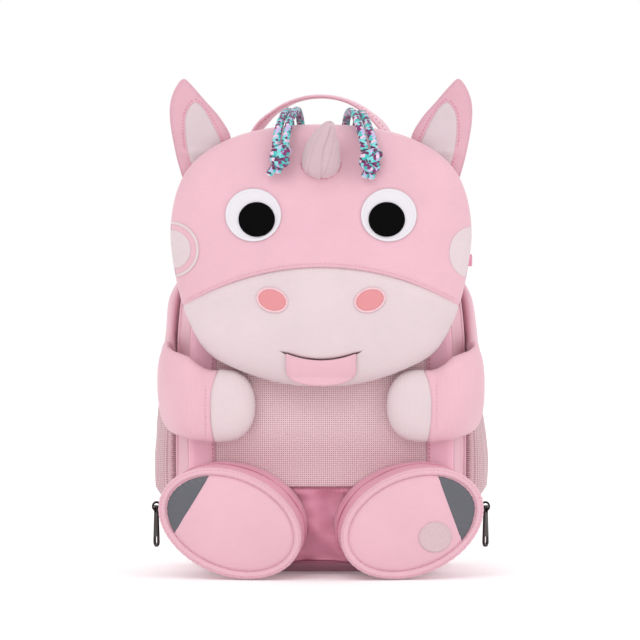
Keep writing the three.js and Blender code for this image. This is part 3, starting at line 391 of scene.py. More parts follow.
# %% Braided cord finish
def braid(name, colours, strand=2.3):
    parts = new_material(name)
    nodes, links, shader = parts[1:]
    uv = weave_map(nodes)
    turned = nodes.new("ShaderNodeMapping")
    turned.inputs["Rotation"].default_value = (0, 0, math.radians(45))
    turned.inputs["Scale"].default_value = (1000 / strand, 1600 / strand, 1)
    links.new(uv.outputs["UV"], turned.inputs["Vector"])
    cells = nodes.new("ShaderNodeTexVoronoi")
    cells.voronoi_dimensions = "2D"
    cells.inputs["Randomness"].default_value = 0.4
    cells.inputs["Scale"].default_value = 1.0
    links.new(turned.outputs["Vector"], cells.inputs["Vector"])
    split = nodes.new("ShaderNodeSeparateColor")
    links.new(cells.outputs["Color"], split.inputs["Color"])
    ramp = nodes.new("ShaderNodeValToRGB")
    ramp.color_ramp.interpolation = "CONSTANT"
    ramp.color_ramp.elements[0].color = linear(colours[0])
    ramp.color_ramp.elements[1].position = 1 / len(colours)
    ramp.color_ramp.elements[1].color = linear(colours[1])
    for i, colour in enumerate(colours[2:], 2):
        ramp.color_ramp.elements.new(i / len(colours)).color = linear(colour)
    links.new(split.outputs["Red"], ramp.inputs["Fac"])
    links.new(ramp.outputs["Color"], shader.inputs["Base Color"])
    relief = keep_finish(name, parts, cells.outputs["Distance"], 0.9, 0.0009, Roughness=0.55,
                         Sheen_Weight=0.2)
    relief.invert = True


cord_colours = ["#7a1f63", "#3fc4c0", "#c4b6e0", "#5f164e", "#7fd3d6", "#2fa5a4", "#ecc7dc", "#7d1f66"]
braid("braided_cord", cord_colours)
print("braid colours:", len(cord_colours))

# %% [markdown]
# A smooth curve through points, and a tube around it, are used for cords, piping and rings. Each ring of
# the tube turns with the curve, and an end can be closed to a point.

# %% Curves and tubes
def reaches(points):
    """The length of a line up to each of its points."""
    reach = [0.0]
    for a, b in zip(points, points[1:]):
        reach.append(reach[-1] + (b - a).length)
    return reach


def smooth_line(points, count, loop=False):
    """Points at equal lengths on a Catmull-Rom curve through the given ones."""
    rows = [Vector(p) for p in points]
    if loop:
        ends = [rows[-1], *rows, rows[0], rows[1]]
    else:
        ends = [2 * rows[0] - rows[1], *rows, 2 * rows[-1] - rows[-2]]
    fine = []
    for a, b, c, d in zip(ends, ends[1:], ends[2:], ends[3:]):
        for k in range(24):
            t = k / 24
            fine.append(0.5 * (2 * b + (c - a) * t + (2 * a - 5 * b + 4 * c - d) * t**2
                               + (3 * b - a - 3 * c + d) * t**3))
    fine.append(rows[0] if loop else rows[-1])
    reach = reaches(fine)
    line = []
    for k in range(count if loop else count + 1):
        wanted = reach[-1] * k / count
        i = min(max(bisect.bisect_right(reach, wanted) - 1, 0), len(fine) - 2)
        line.append(fine[i].lerp(fine[i + 1], (wanted - reach[i]) / max(reach[i + 1] - reach[i], 1e-9)))
    return line


def length_of(line, loop=False):
    return sum((b - a).length for a, b in zip(line, line[1:] + ([line[0]] if loop else [])))


def frames_along(line, loop=False):
    """A sideways and an upward direction at each point, carried along without twisting."""
    ways = []
    for i, point in enumerate(line):
        before = line[i - 1] if loop or i else point
        after = line[(i + 1) % len(line)] if loop or i < len(line) - 1 else point
        ways.append((after - before).normalized())
    side = ways[0].orthogonal()
    found = []
    for way in ways:
        side = (side - way * side.dot(way)).normalized()
        found.append((side, way.cross(side)))
    return found


def tube(line, radius, sides=10, loop=False, flat=1.0):
    """A tube along a line; radius is a number or a rule of the share along it, flat squeezes it."""
    steps = len(line) if loop else len(line) - 1
    frames = frames_along(line, loop)
    size = radius if callable(radius) else lambda share: radius

    def place(u, v):
        i = round(v * steps)
        side, over = frames[i % len(line)]
        angle = -math.tau * u
        wide = size(v)
        return line[i % len(line)] + side * math.cos(angle) * wide + over * math.sin(angle) * wide * flat

    cut = (math.tau * size(0.5), length_of(line, loop))
    return surface(sides, steps, place, cut)


print("helpers ready: smooth_line, tube")

# %% The four hair cords
cord_radius = 2.75
hair_routes = {
    "hair_cord_L_outer": [
        (-20.9, -31, 306.6), (-21.2, -36.5, 313), (-21.4, -46, 318.2), (-22.4, -57, 320.4),
        (-24.8, -69, 319), (-27.6, -79.6, 313.4), (-29.9, -85.6, 304.6), (-30.9, -88.4, 295.9),
    ],
    "hair_cord_L_inner": [
        (-13.7, -31, 306.6), (-14.2, -36.5, 313), (-15.2, -46, 318.6), (-16.4, -57, 321),
        (-18.6, -69, 319.8), (-21.2, -80.2, 314), (-23.4, -86.4, 305), (-24.7, -89.1, 296),
    ],
    "hair_cord_R_outer": [
        (24.2, -31, 306.4), (24.8, -36.5, 312.6), (25.9, -46, 317.4), (27.4, -57, 319),
        (29.8, -69, 316.6), (32.4, -78.8, 310), (35.1, -84.8, 301.6), (36.9, -88, 293.2),
    ],
    "hair_cord_R_inner": [
        (16.8, -31, 306.6), (17.4, -36.5, 313), (18.6, -46, 318.4), (20.4, -57, 320.4),
        (22.8, -69, 318.6), (25.4, -79.4, 312.4), (28, -85.4, 303.4), (29.8, -88.6, 293.7),
    ],
}
cords = {}
for name, route in hair_routes.items():
    line = smooth_line(route, 36)
    cords[name] = (piece(name, tube(line, cord_radius, 20), "braided_cord", nodes=[name]), line)
    print(name, "is %.1f mm long" % length_of(line))

# %% [markdown]
# Each pair of cords is tied together in a fat knot. Real knots are the cord itself, wrapped over and
# under, so three short loops of the same cord are laid through each other, and two tails hang out with
# pale fused ends.

# %% The knots
plain("fused_end", "#e6dde8", 0.5, grain=700)
knot_places = {"L": (-27.6, 288.4), "R": (34.0, 285.4)}


def join(target_mesh, *others):
    """Adds other bmeshes to the first one."""
    for other in others:
        spare = bpy.data.meshes.new("spare")
        other.to_mesh(spare)
        other.free()
        target_mesh.from_mesh(spare)
        bpy.data.meshes.remove(spare)
    return target_mesh


def knot_loop(middle, wide, tall, deep, turn, lean):
    """One wrap of cord in a knot: an oval, turned about the view and leaned out of it."""
    ring = []
    for k in range(28):
        angle = math.tau * k / 28
        x, z = wide * math.cos(angle), tall * math.sin(angle)
        y = deep * math.sin(angle * 2 + lean)
        ring.append(middle + Vector((x * math.cos(turn) - z * math.sin(turn), y,
                                     x * math.sin(turn) + z * math.cos(turn))))
    return tube(ring, cord_radius * 0.96, 14, loop=True)


tail_ends = {"L": ((-7.9, -11), (-2.2, -9.4)), "R": ((-4.3, -9.6), (0.4, -10.6))}
knot_sizes = {"L": 1.0, "R": 1.14}


def make_knot(hand, x, z):
    y = hair_routes[f"hair_cord_{hand}_inner"][-1][1]
    middle = Vector((x, y - 0.4, z))
    size = knot_sizes[hand]
    wraps = [
        knot_loop(middle + Vector((0.2, -1.6, 4.4)), 4.9 * size, 2.2 * size, 1.3, 0.3, 0.3),
        knot_loop(middle + Vector((-0.8, -1.2, -0.6)), 4.7 * size, 2.9 * size, 1.5, -0.55, 1.6),
        knot_loop(middle + Vector((1.2, -0.2, 0.6)), 2.3 * size, 4.6 * size, 1.4, 0.2, 2.6),
    ]
    tails = []
    caps = []
    for across, down in tail_ends[hand]:
        first = middle + Vector((across * 0.3, 0.4, down * 0.2))
        last = middle + Vector((across, 0.2, down))
        way = (last - first).normalized()
        line = smooth_line([first, first.lerp(last, 0.5) + Vector((0.5, -0.5, 0)), last], 12)
        tails.append(tube(line, lambda share: cord_radius * (1 - 0.08 * share), 14))
        cap = bmesh.new()
        seat = Matrix.Translation(at(*line[-1])) @ way.to_track_quat("Z", "Y").to_matrix().to_4x4()
        squash = Matrix.Diagonal((cord_radius * 0.0008, cord_radius * 0.0008, cord_radius * 0.0004, 1))
        bmesh.ops.create_uvsphere(cap, u_segments=14, v_segments=8, radius=1, matrix=seat @ squash)
        caps.append(cap)
    knot = piece(f"hair_knot_{hand}", join(*wraps, *tails), "braided_cord", nodes=[f"hair_knot_{hand}"])
    ends = piece(f"hair_ends_{hand}", join(*caps), "fused_end")
    for side in ("outer", "inner"):
        name = f"hair_cord_{hand}_{side}"
        cord, line = cords[name]


for hand, (x, z) in knot_places.items():
    make_knot(hand, x, z)
print("knots:", len(knot_places))

# %% [markdown]
# The bag's body is a cloth shell. Seen from the front its outline is a superellipse, which is a rounded
# rectangle that a formula gives at any angle: soft at the shoulders and squarer at the base, where the
# ground presses it flat.

# %% The body's outline
bag_half_width = 100
bag_height = 300
widest_height = 110
base_sag = 3
crown_squareness, base_squareness = 2.7, 5
seam_gap = 0.3
front_face = -bag_depth / 2
back_face = bag_depth / 2


def bag_point(angle, inset):
    top = math.sin(angle) >= 0
    squareness = crown_squareness if top else base_squareness
    half_height = bag_height - widest_height if top else widest_height + base_sag
    x = power(math.cos(angle), 2 / squareness) * (bag_half_width - inset)
    z = widest_height + power(math.sin(angle), 2 / squareness) * (half_height - inset)
    return x, max(z, inset)


def bag_side(height):
    """Half of the body's width at a height."""
    above = height >= widest_height
    reach = bag_height - widest_height if above else widest_height + base_sag
    squareness = crown_squareness if above else base_squareness
    return bag_half_width * (1 - (abs(height - widest_height) / reach) ** squareness) ** (1 / squareness)


def bag_top(across):
    share = (abs(across) / bag_half_width) ** crown_squareness
    return widest_height + (bag_height - widest_height) * (1 - share) ** (1 / crown_squareness)


outline_steps = 220
rough_line = [Vector((*bag_point(math.tau * k / 720, 0), 0)) for k in range(720)]
even_line = smooth_line(rough_line, outline_steps, loop=True)
body_run = length_of(even_line, loop=True)
even_angles = []
for point in even_line:
    up = point.y - widest_height
    squareness = crown_squareness if up >= 0 else base_squareness
    half = bag_height - widest_height if up >= 0 else widest_height + base_sag
    x_share = power(point.x / bag_half_width, squareness / 2)
    z_share = power(up / half, squareness / 2)
    even_angles.append(math.atan2(z_share, x_share))


def around_bag(share, inset):
    """A point of the outline at a share of the way round, in equal steps."""
    return bag_point(even_angles[round(share * outline_steps) % outline_steps], inset)


print("round the body: %.0f mm" % body_run)

# %% [markdown]
# Sewn cloth is never a clean tube. Between two seams it sags a little and small folds run across it, so
# noise with a fixed pattern moves the points, and the movement fades to nothing at the seams.

# %% Gussets, band and panels
def folds(x, y, z, scale, seed):
    return noise.noise(Vector((x, y, z)) * scale + Vector((seed, seed * 2, 0)))


def gusset(name, y_front, y_rear, inset_front, inset_rear, finish, rows, sag, fold):
    def place(u, v):
        between = math.sin(math.pi * v) ** 0.7 if 0 < v < 1 else 0
        x, z = around_bag(u, mix(inset_front, inset_rear, v))
        y = mix(y_front, y_rear, v)
        still = 0 if z < 4 else min(1, (z - 4) / 20)
        rumple = fold * folds(x, y * 2.2, z, 0.035, 3) + fold * 0.5 * folds(x, y * 4, z, 0.09, 8)
        move = between * still * (rumple - sag)
        centre = Vector((0, 0, widest_height))
        way = (Vector((x, 0, z)) - centre).normalized()
        return x + way.x * move, y, max(z + way.z * move, 0.2)

    bm = surface(outline_steps, rows, place, (body_run, y_rear - y_front))
    return piece(name, face_outwards(bm, (0, 0, widest_height)), finish, nodes=[name], wall=1.6)


gusset("rear_gusset", -25.4, 48.7, 0, 0, "pink_satin", 26, sag=0.8, fold=3.4)
# The front gusset's finish carries painted shade near the floor.
gusset("front_gusset", -52, -34, 8, 0, "gusset_satin_painted_shade", 10, sag=0.3, fold=0.8)


def band(name, first, last, finish):
    def place(u, v):
        x, z = bag_point(mix(first, last, u), 0.2)
        return x, mix(-33.7, -25.7, v), z

    bm = surface(outline_steps // 2, 4, place, (body_run / 2, 8))
    return piece(name, face_outwards(bm, (0, 0, widest_height)), finish, nodes=[name], wall=1.5)


zip_end = 0.13
band("main_zip", zip_end, math.pi - zip_end, "zip_tape")
band("base_band", math.pi - zip_end + 0.002, math.tau + zip_end - 0.002, "rose_satin")
print("shell pieces:", len(made))

# %% The front panel and the padded back
def panel(name, rings, rows_between, finish, wrinkle):
    """A flat panel drawn as rings of (y, inset) from its rim in to its middle."""
    def place(u, v):
        spot = v * (len(rings) - 1)
        i = min(int(spot), len(rings) - 2)
        y = mix(rings[i][0], rings[i + 1][0], spot - i)
        inset = mix(rings[i][1], rings[i + 1][1], spot - i)
        x, z = around_bag(u, 0)
        shrink = 1 - inset / 100
        x, z = x * shrink, widest_height + (z - widest_height) * shrink
        return x, y + wrinkle(x, z) * min(1, inset / 12), max(z, 0.3)

    bm = surface(outline_steps, rows_between * (len(rings) - 1), place, planar=True)
    return piece(name, face_outwards(bm, (0, 0, widest_height)), finish, nodes=[name])


def front_wrinkle(x, z):
    low = max(0, min(1, (62 - z) / 8))
    rumple = 8 * folds(x, 0, z * 1.3, 0.04, 5) + 3.6 * folds(x * 1.2 + z * 0.6, 0, z * 1.6, 0.07, 9)
    rumple += 1.6 * bump(z - 53 - 3 * folds(x, 0, 0, 0.04, 6), 2.2)
    seam = 1.0 * bump(z - 62, 1.2) + 0.7 * bump(abs(x) - 72.5, 1.2) * (z > 62)
    return low * rumple + seam + 0.5 * folds(x, 3, z, 0.05, 2)


# The front panel's finish has painted shade on its lower part, between the feet.
panel("front_panel", [(-51, 8), (-53.8, 9), (-54.6, 12), (-54.6, 40), (-54.6, 75), (-54.6, 100)], 14,
      "front_satin_painted_shade", front_wrinkle)


def back_padding(x, z):
    channel = 2.6 * bump(abs(x) - 12, 3)
    for height in (70, 130, 190, 240):
        channel += 2.4 * bump(z - height, 3.5) * (abs(x) < 76)
    return -channel


panel("back_panel", [(49.2, 1.5), (51, 0), (53.4, 2), (54.8, 7), (54.8, 40), (54.8, 75), (54.8, 100)], 12,
      "pink_satin", back_padding)
print("panels done")

# %% [markdown]
# The face is a big flat pillow sewn along its middle to the muzzle. Its outline comes from a short table
# of shares, and its swell falls off towards the edge. One rule gives the depth of the face at any place,
# so eyes, nostrils, seams and stitches all lie on it.

# %% The face's shape
head_bottom = 131.5
head_height = 180
head_half_width = 103.7
head_depth = 32
head_middle = head_bottom + head_height / 2
head_shares = [
    (0, 1), (0.31, 0.989), (0.58, 0.951), (0.81, 0.875), (0.945, 0.765), (1, 0.6), (0.965, 0.42),
    (0.885, 0.26), (0.75, 0.13), (0.52, 0.057), (0.26, 0.012), (0, 0),
]
half_head = [(a * head_half_width, 0, head_bottom + b * head_height) for a, b in head_shares]
head_line = smooth_line(half_head + [(-x, y, z) for x, y, z in half_head[-2:0:-1]], 400, loop=True)
head_polar = sorted((math.atan2(p.z - head_middle, p.x), math.hypot(p.x, p.z - head_middle))
                    for p in head_line)
polar_angles = [angle for angle, reach in head_polar]


def head_reach(angle):
    """Distance from the face's middle to its outline."""
    angle = (angle + math.pi) % math.tau - math.pi
    i = bisect.bisect(polar_angles, angle)
    a0, r0 = head_polar[i - 1]
    a1, r1 = head_polar[i % len(head_polar)]
    gap = (a1 - a0) % math.tau
    return mix(r0, r1, ((angle - a0) % math.tau) / gap) if gap else r0


def head_rear(z):
    drop = max(0, (head_middle + head_height * 0.08 - z) / (head_height * 0.58))
    return front_face - seam_gap - 14 * drop


seam_corner_across, seam_corner_rise, seam_rise = 93.5, 56, 82
sagitta = seam_rise - seam_corner_rise
seam_radius = (seam_corner_across**2 + sagitta**2) / (2 * sagitta)


def seam_z(x):
    return head_bottom + seam_rise - seam_radius + math.sqrt(max(0, seam_radius**2 - x * x))


def face_relief(x, z, share):
    """Small rises and dips of the padded face: the seam, the horn's pull and puckers at the edge."""
    from_seam = z - seam_z(x)
    relief = -1.5 * bump(from_seam, 1.5) - 0.5 * bump(from_seam - 2.6, 0.8)
    relief += 0.7 * bump(abs(from_seam) - 6, 3.5)
    for across, depth in ((-21, 5.6), (21, 5.6)):
        relief -= depth * math.exp(-((x - across) / 10) ** 2 - ((z - 285) / 15) ** 2)
    relief -= 1.6 * math.exp(-(x / 16) ** 2 - ((z - 268) / 6) ** 2)
    angle = math.atan2(z - head_middle, x)
    relief += 0.35 * math.sin(angle * 64 + 3 * folds(x, 0, z, 0.03, 4)) * bump(1 - share, 0.035)
    return relief + 0.9 * folds(x, 0, z, 0.018, 6) + 0.25 * folds(x, 0, z, 0.06, 7)


def on_face(x, z, lift=0.0):
    """The point of the face's front at x and z, raised by lift."""
    angle = math.atan2(z - head_middle, x)
    share = min(math.hypot(x, z - head_middle) / head_reach(angle), 1)
    swell = 0.27 + 0.73 * math.sqrt(max(0, 1 - share**3.6))
    return Vector((x, head_rear(z) - head_depth * swell - face_relief(x, z, share) * 0.9 + 0.6 - lift, z))


def face_normal(x, z):
    step = 0.6
    right = on_face(x + step, z) - on_face(x - step, z)
    up = on_face(x, z + step) - on_face(x, z - step)
    return right.cross(up).normalized()


def head_edge(angle, turn):
    """A point of the rim at an angle; turn goes from 0 at the front's edge to 1 at the back."""
    size = 1 - 0.05 * turn**2.5
    depth = head_depth * 0.27 * (1 - turn) ** 1.3
    reach = head_reach(angle) * size
    x, z = reach * math.cos(angle), head_middle + reach * math.sin(angle)
    return Vector((x, head_rear(z) - depth, z))


print("face depth at the middle: %.1f mm" % on_face(0, head_middle).y)

# %% [markdown]
# Face and muzzle are two panels with a common curved seam. Each is a sheet between two lines, the seam
# and its part of the outline, and the last rows roll over the rim. The muzzle's rows follow the mouth, so
# that the slit is clean.

# %% Face panels
def seam_end():
    low, high = 80.0, 103.0
    for _ in range(40):
        x = (low + high) / 2
        z = seam_z(x)
        inside = math.hypot(x, z - head_middle) < head_reach(math.atan2(z - head_middle, x))
        low, high = (x, high) if inside else (low, x)
    return low


corner_x = seam_end()
corner_angle = math.atan2(seam_z(corner_x) - head_middle, corner_x)
print("the seam ends at x = %.1f mm" % corner_x)


def seam_x(u):
    """A place across the seam, in steps that get short near its ends."""
    return -corner_x * math.cos(math.pi * (0.06 + 0.88 * u)) / math.cos(math.pi * 0.06)


def rim_or_front(x, z, angle, v, rim_from):
    if v <= rim_from:
        return on_face(x, z)
    return head_edge(angle, 0.6 * (v - rim_from) / (1 - rim_from))


def make_face_upper():
    rim_from = 0.9

    def place(u, v):
        angle = mix(math.pi - corner_angle, corner_angle, u)
        reach = head_reach(angle)
        top = Vector((reach * math.cos(angle), 0, head_middle + reach * math.sin(angle)))
        x = seam_x(u)
        seam = Vector((x, 0, seam_z(x)))
        spot = seam.lerp(top, min(1, v / rim_from))
        return rim_or_front(spot.x, spot.z, angle, v, rim_from)

    bm = surface(170, 90, place, planar=True)
    return piece("face_upper", face_outwards(bm, (0, 0, head_middle)), "pink_satin", nodes=["face_upper"],
                 wall=1.4)


mouth_half = 28
mouth_line = head_bottom + 25
mouth_sag = 6.5


def mouth_z(x):
    if abs(x) <= mouth_half:
        return mouth_line - mouth_sag * (1 - (x / mouth_half) ** 2)
    return mouth_line + (seam_z(corner_x) - mouth_line) * (abs(x) - mouth_half) / (corner_x - mouth_half)


def make_muzzle():
    rows = 84
    lip = 40
    rim_from = 74

    def place(u, v):
        row = round(v * rows)
        x = seam_x(u)
        low_angle = mix(math.pi - corner_angle, math.tau + corner_angle, u)
        reach = head_reach(low_angle)
        chin = Vector((reach * math.cos(low_angle), 0, head_middle + reach * math.sin(low_angle)))
        half_slit = 1.5 * max(0.02, 1 - (abs(x) / mouth_half) ** 8) if abs(x) < mouth_half else 0.02
        mouth = Vector((x, 0, mouth_z(x)))
        seam = Vector((x, 0, seam_z(x)))
        inward = 0
        if row <= lip:
            spot = seam.lerp(mouth + Vector((0, 0, half_slit)), row / lip)
        elif row < lip + 4:
            spot = mouth + Vector((0, 0, half_slit * (1 - (row - lip) / 2)))
            inward = (5.0, 8.0, 5.0)[row - lip - 1] * min(1, half_slit / 1.2) * (abs(x) < mouth_half)
        else:
            share = min(1, (row - lip - 4) / (rim_from - lip - 4))
            spot = (mouth - Vector((0, 0, half_slit))).lerp(chin, share)
        if row > rim_from:
            return head_edge(low_angle, 0.6 * (row - rim_from) / (rows - rim_from))
        point = on_face(spot.x, spot.z)
        return point + Vector((0, inward, 0))

    bm = surface(170, rows, place, planar=True)
    return piece("muzzle", face_outwards(bm, (0, 0, head_middle)), "pale_satin", nodes=["muzzle"],
                 wall=1.2)


make_face_upper()
make_muzzle()
print("face panels done")

# %% The back of the face
def make_face_back():
    def place(u, v):
        angle = math.tau * u
        if v < 0.25:
            return head_edge(angle, mix(0.55, 1, v / 0.25))
        reach = head_reach(angle) * 0.95 * (1 - (v - 0.25) / 0.75)
        x, z = reach * math.cos(angle), head_middle + reach * math.sin(angle)
        return x, head_rear(z), z

    bm = surface(160, 24, place, planar=True)
    return piece("face_back", face_outwards(bm, (0, front_face - 20, head_middle)), "pink_satin", wall=1.0)


make_face_back()
print("back of the face done")

# %% [markdown]
# Ears are two layers of cloth, turned and lightly stuffed, with a pale panel sewn on the front one. A
# pillow helper closes a front and a back over one outline, and the seam round the panel is a groove with
# stitches in it.

# %% Ears
ear_shares = [
    (0, 0), (0.12, 0.08), (0.205, 0.22), (0.21, 0.4), (0.15, 0.62), (0.07, 0.82), (-0.04, 0.98),
    (-0.26, 0.97), (-0.48, 0.82), (-0.69, 0.68), (-0.74, 0.54), (-0.57, 0.36), (-0.35, 0.21), (-0.13, 0.06),
]
ear_across, ear_wide, ear_top, ear_tall, ear_thick = 95, 44, 343, 74, 8
ear_core_share = -0.22
ear_rear = front_face - seam_gap + ear_thick - 0.7


def ear_spot(side, out, down):
    return Vector((side * (ear_across + out * ear_wide), 0, ear_top - down * ear_tall))


def ear_outline(side):
    return smooth_line([ear_spot(side, out, down) for out, down in ear_shares], 120, loop=True)


def ear_depth(size):
    return ear_thick * (0.5 + 0.46 * math.sqrt(max(0, 1 - size**2.4)))


def pillow(line, core, front, back, columns=120, rows=40):
    """A closed pillow over an outline; front and back give a point's depth from its share outwards."""
    def place(u, v):
        rim = line[round(u * columns) % columns]
        size = v * 2 if v <= 0.5 else (1 - v) * 2
        size = 1 - (1 - size) ** 1.5
        point = core.lerp(rim, size)
        depth = front(point.x, point.z, size) if v <= 0.5 else back(point.x, point.z, size)
        return point.x, depth, point.z

    bm = surface(columns, rows, place, planar=True)
    bmesh.ops.recalc_face_normals(bm, faces=bm.faces)
    return bm


panel_shares = [
    (-0.16, 0.225), (-0.06, 0.31), (-0.03, 0.42), (-0.05, 0.6), (-0.12, 0.78), (-0.22, 0.88), (-0.38, 0.84),
    (-0.54, 0.73), (-0.6, 0.62), (-0.48, 0.45), (-0.34, 0.3), (-0.24, 0.235),
]


def ear_panel_line(side, grow=0.0):
    """The inner panel's outline, grown outwards by some millimetres."""
    points = [ear_spot(side, out, down) for out, down in panel_shares]
    middle = sum(points, Vector()) / len(points)
    return smooth_line([p + (p - middle).normalized() * grow for p in points], 120, loop=True)


def ear_share(line, core, x, z):
    """How far a point lies from the ear's middle to its outline."""
    way = Vector((x, 0, z)) - core
    if way.length < 1e-6:
        return 0.0
    rim = max(line, key=lambda p: (p - core).normalized().dot(way.normalized()))
    return min(1.0, way.length / (rim - core).length)


def make_ear(hand, side):
    core = ear_spot(side, ear_core_share, 0.5)
    line = ear_outline(side)
    panel_line = ear_panel_line(side)
    panel_core = sum(panel_line, Vector()) / len(panel_line)

    def ear_front(x, z, size):
        groove = 0.9 * bump(size - 0.93, 0.02)
        fold = 1.1 * bump(z - 292, 2.5) + 0.7 * folds(x, 0, z, 0.05, 19)
        return ear_rear - ear_depth(size) + groove - fold * (1 - size**4)

    def ear_back(x, z, size):
        return ear_rear - ear_thick + ear_depth(size)

    ear = pillow(line, core, ear_front, ear_back)
    piece(f"ear_{hand}", ear, "ear_pink_painted_shade", nodes=[f"ear_{hand}"])

    def panel_front(x, z, size):
        rim = math.sqrt(max(0, 1 - size**10))
        return ear_front(x, z, ear_share(line, core, x, z)) - 0.15 - 0.8 * rim

    def panel_back(x, z, size):
        return ear_front(x, z, ear_share(line, core, x, z)) + 0.3

    bm = pillow(panel_line, panel_core, panel_front, panel_back, rows=24)
    piece(f"ear_panel_{hand}", bm, "ear_satin", nodes=[f"ear_panel_{hand}"])


for hand, side in hands:
    make_ear(hand, side)
print("ears done")

# %% [markdown]
# The horn is a stuffed cone of pale cloth, sewn from leaf-shaped panels, and it leans a little. Its foot
# is an oval that lies on the face, and from there its rings turn up into the table of radii. The seams
# are narrow grooves.

# %% Horn
horn_radius, horn_length, horn_pitch, horn_lean = 13.4, 36, 0.87, 6
horn_foot, horn_foot_height = (13.3, 10.8), 285.5
horn_turn_share = 0.42
horn_profile = [
    (-0.35, 0.9), (0, 1), (0.2, 0.97), (0.42, 0.84), (0.64, 0.63), (0.84, 0.42), (0.95, 0.26), (1.0, 0.03),
]
horn_base = on_face(0, head_bottom + 154)
horn_way = Vector((0, -math.cos(horn_pitch), math.sin(horn_pitch)))
horn_over = horn_way.cross(Vector((1, 0, 0)))
horn_curve = smooth_line([(along * 100, radius * 100, 0) for along, radius in horn_profile], 90)


def horn_point(angle, v, lift=0.0):
    row = horn_curve[min(90, round(v * 90))]
    along, radius = row.x / 100, max(0.0, row.y / 100)
    middle = horn_base + horn_way * along * horn_length + Vector((horn_lean * max(0, along) ** 2, 0, 0))
    reach = radius * horn_radius + lift
    ring = middle + Vector((math.cos(angle) * reach, 0, 0)) + horn_over * math.sin(angle) * reach
    if v >= horn_turn_share:
        return ring
    share = (v / horn_turn_share) ** 1.2
    foot = horn_foot_point(angle, lift)
    return foot.lerp(ring, share) + Vector((0, -4.2 * math.sin(math.pi * share), 0))


def horn_foot_point(angle, out=0.0):
    x = (horn_foot[0] + out) * math.cos(angle)
    return on_face(x, horn_foot_height + (horn_foot[1] + out) * math.sin(angle), 0.2)


def horn_groove(angle, along):
    """Three seams: one down the middle, one that leaves it to the right and one on the left."""
    front = (angle + math.pi / 2 + math.pi) % math.tau - math.pi
    reach = 13 * (1 - 0.6 * along)
    depth = bump((front - 0.25 * max(0, along - 0.55) * 4) * reach, 0.6)
    if 0.15 < along < 0.75:
        depth = max(depth, 0.8 * bump((front - (along - 0.15) * 1.9) * reach, 0.55))
        depth = max(depth, 0.6 * bump((front + 0.75 + (along - 0.15) * 0.2) * reach, 0.55))
    return -0.9 * depth


def make_horn():
    def place(u, v):
        angle = math.tau * u
        fade = min(1, max(0, (0.97 - v) * 8))
        rumple = 0.25 * folds(math.cos(angle) * 9, v * 30, 0, 0.2, 20)
        return horn_point(angle, v, horn_groove(angle, v) * fade + rumple)

    bm = surface(200, 90, place, (88, 48))
    bmesh.ops.recalc_face_normals(bm, faces=bm.faces)
    return piece("horn", bm, "horn_satin_painted_shade", nodes=["horn"])


make_horn()
print("horn done")

# %% [markdown]
# Eyes, nostrils and cheek spots are appliqué patches: a thin disc of cloth whose edge is covered by a
# raised ring of satin stitch. Each patch lies on the face's own surface.

# %% Patches on the face
def oval_line(x, z, wide, tall, tilt=0.0, count=96):
    line = []
    for k in range(count):
        angle = math.tau * k / count
        u, v = math.cos(angle) * wide, math.sin(angle) * tall
        line.append(Vector((x + u * math.cos(tilt) - v * math.sin(tilt), 0,
                            z + u * math.sin(tilt) + v * math.cos(tilt))))
    return line


def face_patch(name, line, core, finish, thick=0.9, lift=0.2, hollow=0.0):
    """A thin patch on the face, with its outline held inside the face's rim."""
    count = len(line)

    def held(point):
        angle = math.atan2(point.z - head_middle, point.x)
        limit = head_reach(angle) * 0.997
        reach = math.hypot(point.x, point.z - head_middle)
        if reach <= limit:
            return point
        return Vector((point.x, 0, point.z - head_middle)) * (limit / reach) + Vector((0, 0, head_middle))

    def place(u, v):
        rim = line[round(u * count) % count]
        size = mix(hollow, 1, v)
        spot = held(core.lerp(rim, size))
        edge = math.sqrt(max(0, 1 - abs(2 * v - 1) ** 8)) if hollow else math.sqrt(max(0, 1 - v**14))
        return on_face(spot.x, spot.z, lift + thick * edge)

    bm = surface(count, 16, place, planar=True)
    face_outwards(bm, (core.x * 0.5, front_face + 40, core.z))
    return piece(name, bm, finish, nodes=[name])


def satin_edge(name, line, width, thick, finish, lift=0.3):
    """A raised ring of satin stitch along an outline, whose threads run across it."""
    count = len(line)
    run = length_of(line, loop=True)

    def place(u, v):
        i = round(u * count) % count
        way = (line[(i + 1) % count] - line[i - 1]).normalized()
        out = Vector((way.z, 0, -way.x))
        spot = line[i] + out * width * (v - 0.5)
        return on_face(spot.x, spot.z, lift + thick * math.sqrt(max(0, 1 - abs(2 * v - 1) ** 3)))

    bm = surface(count, 10, place, (run, width))
    middle = sum(line, Vector()) / count
    face_outwards(bm, (middle.x * 0.5, front_face + 40, middle.z))
    return piece(name, bm, finish)


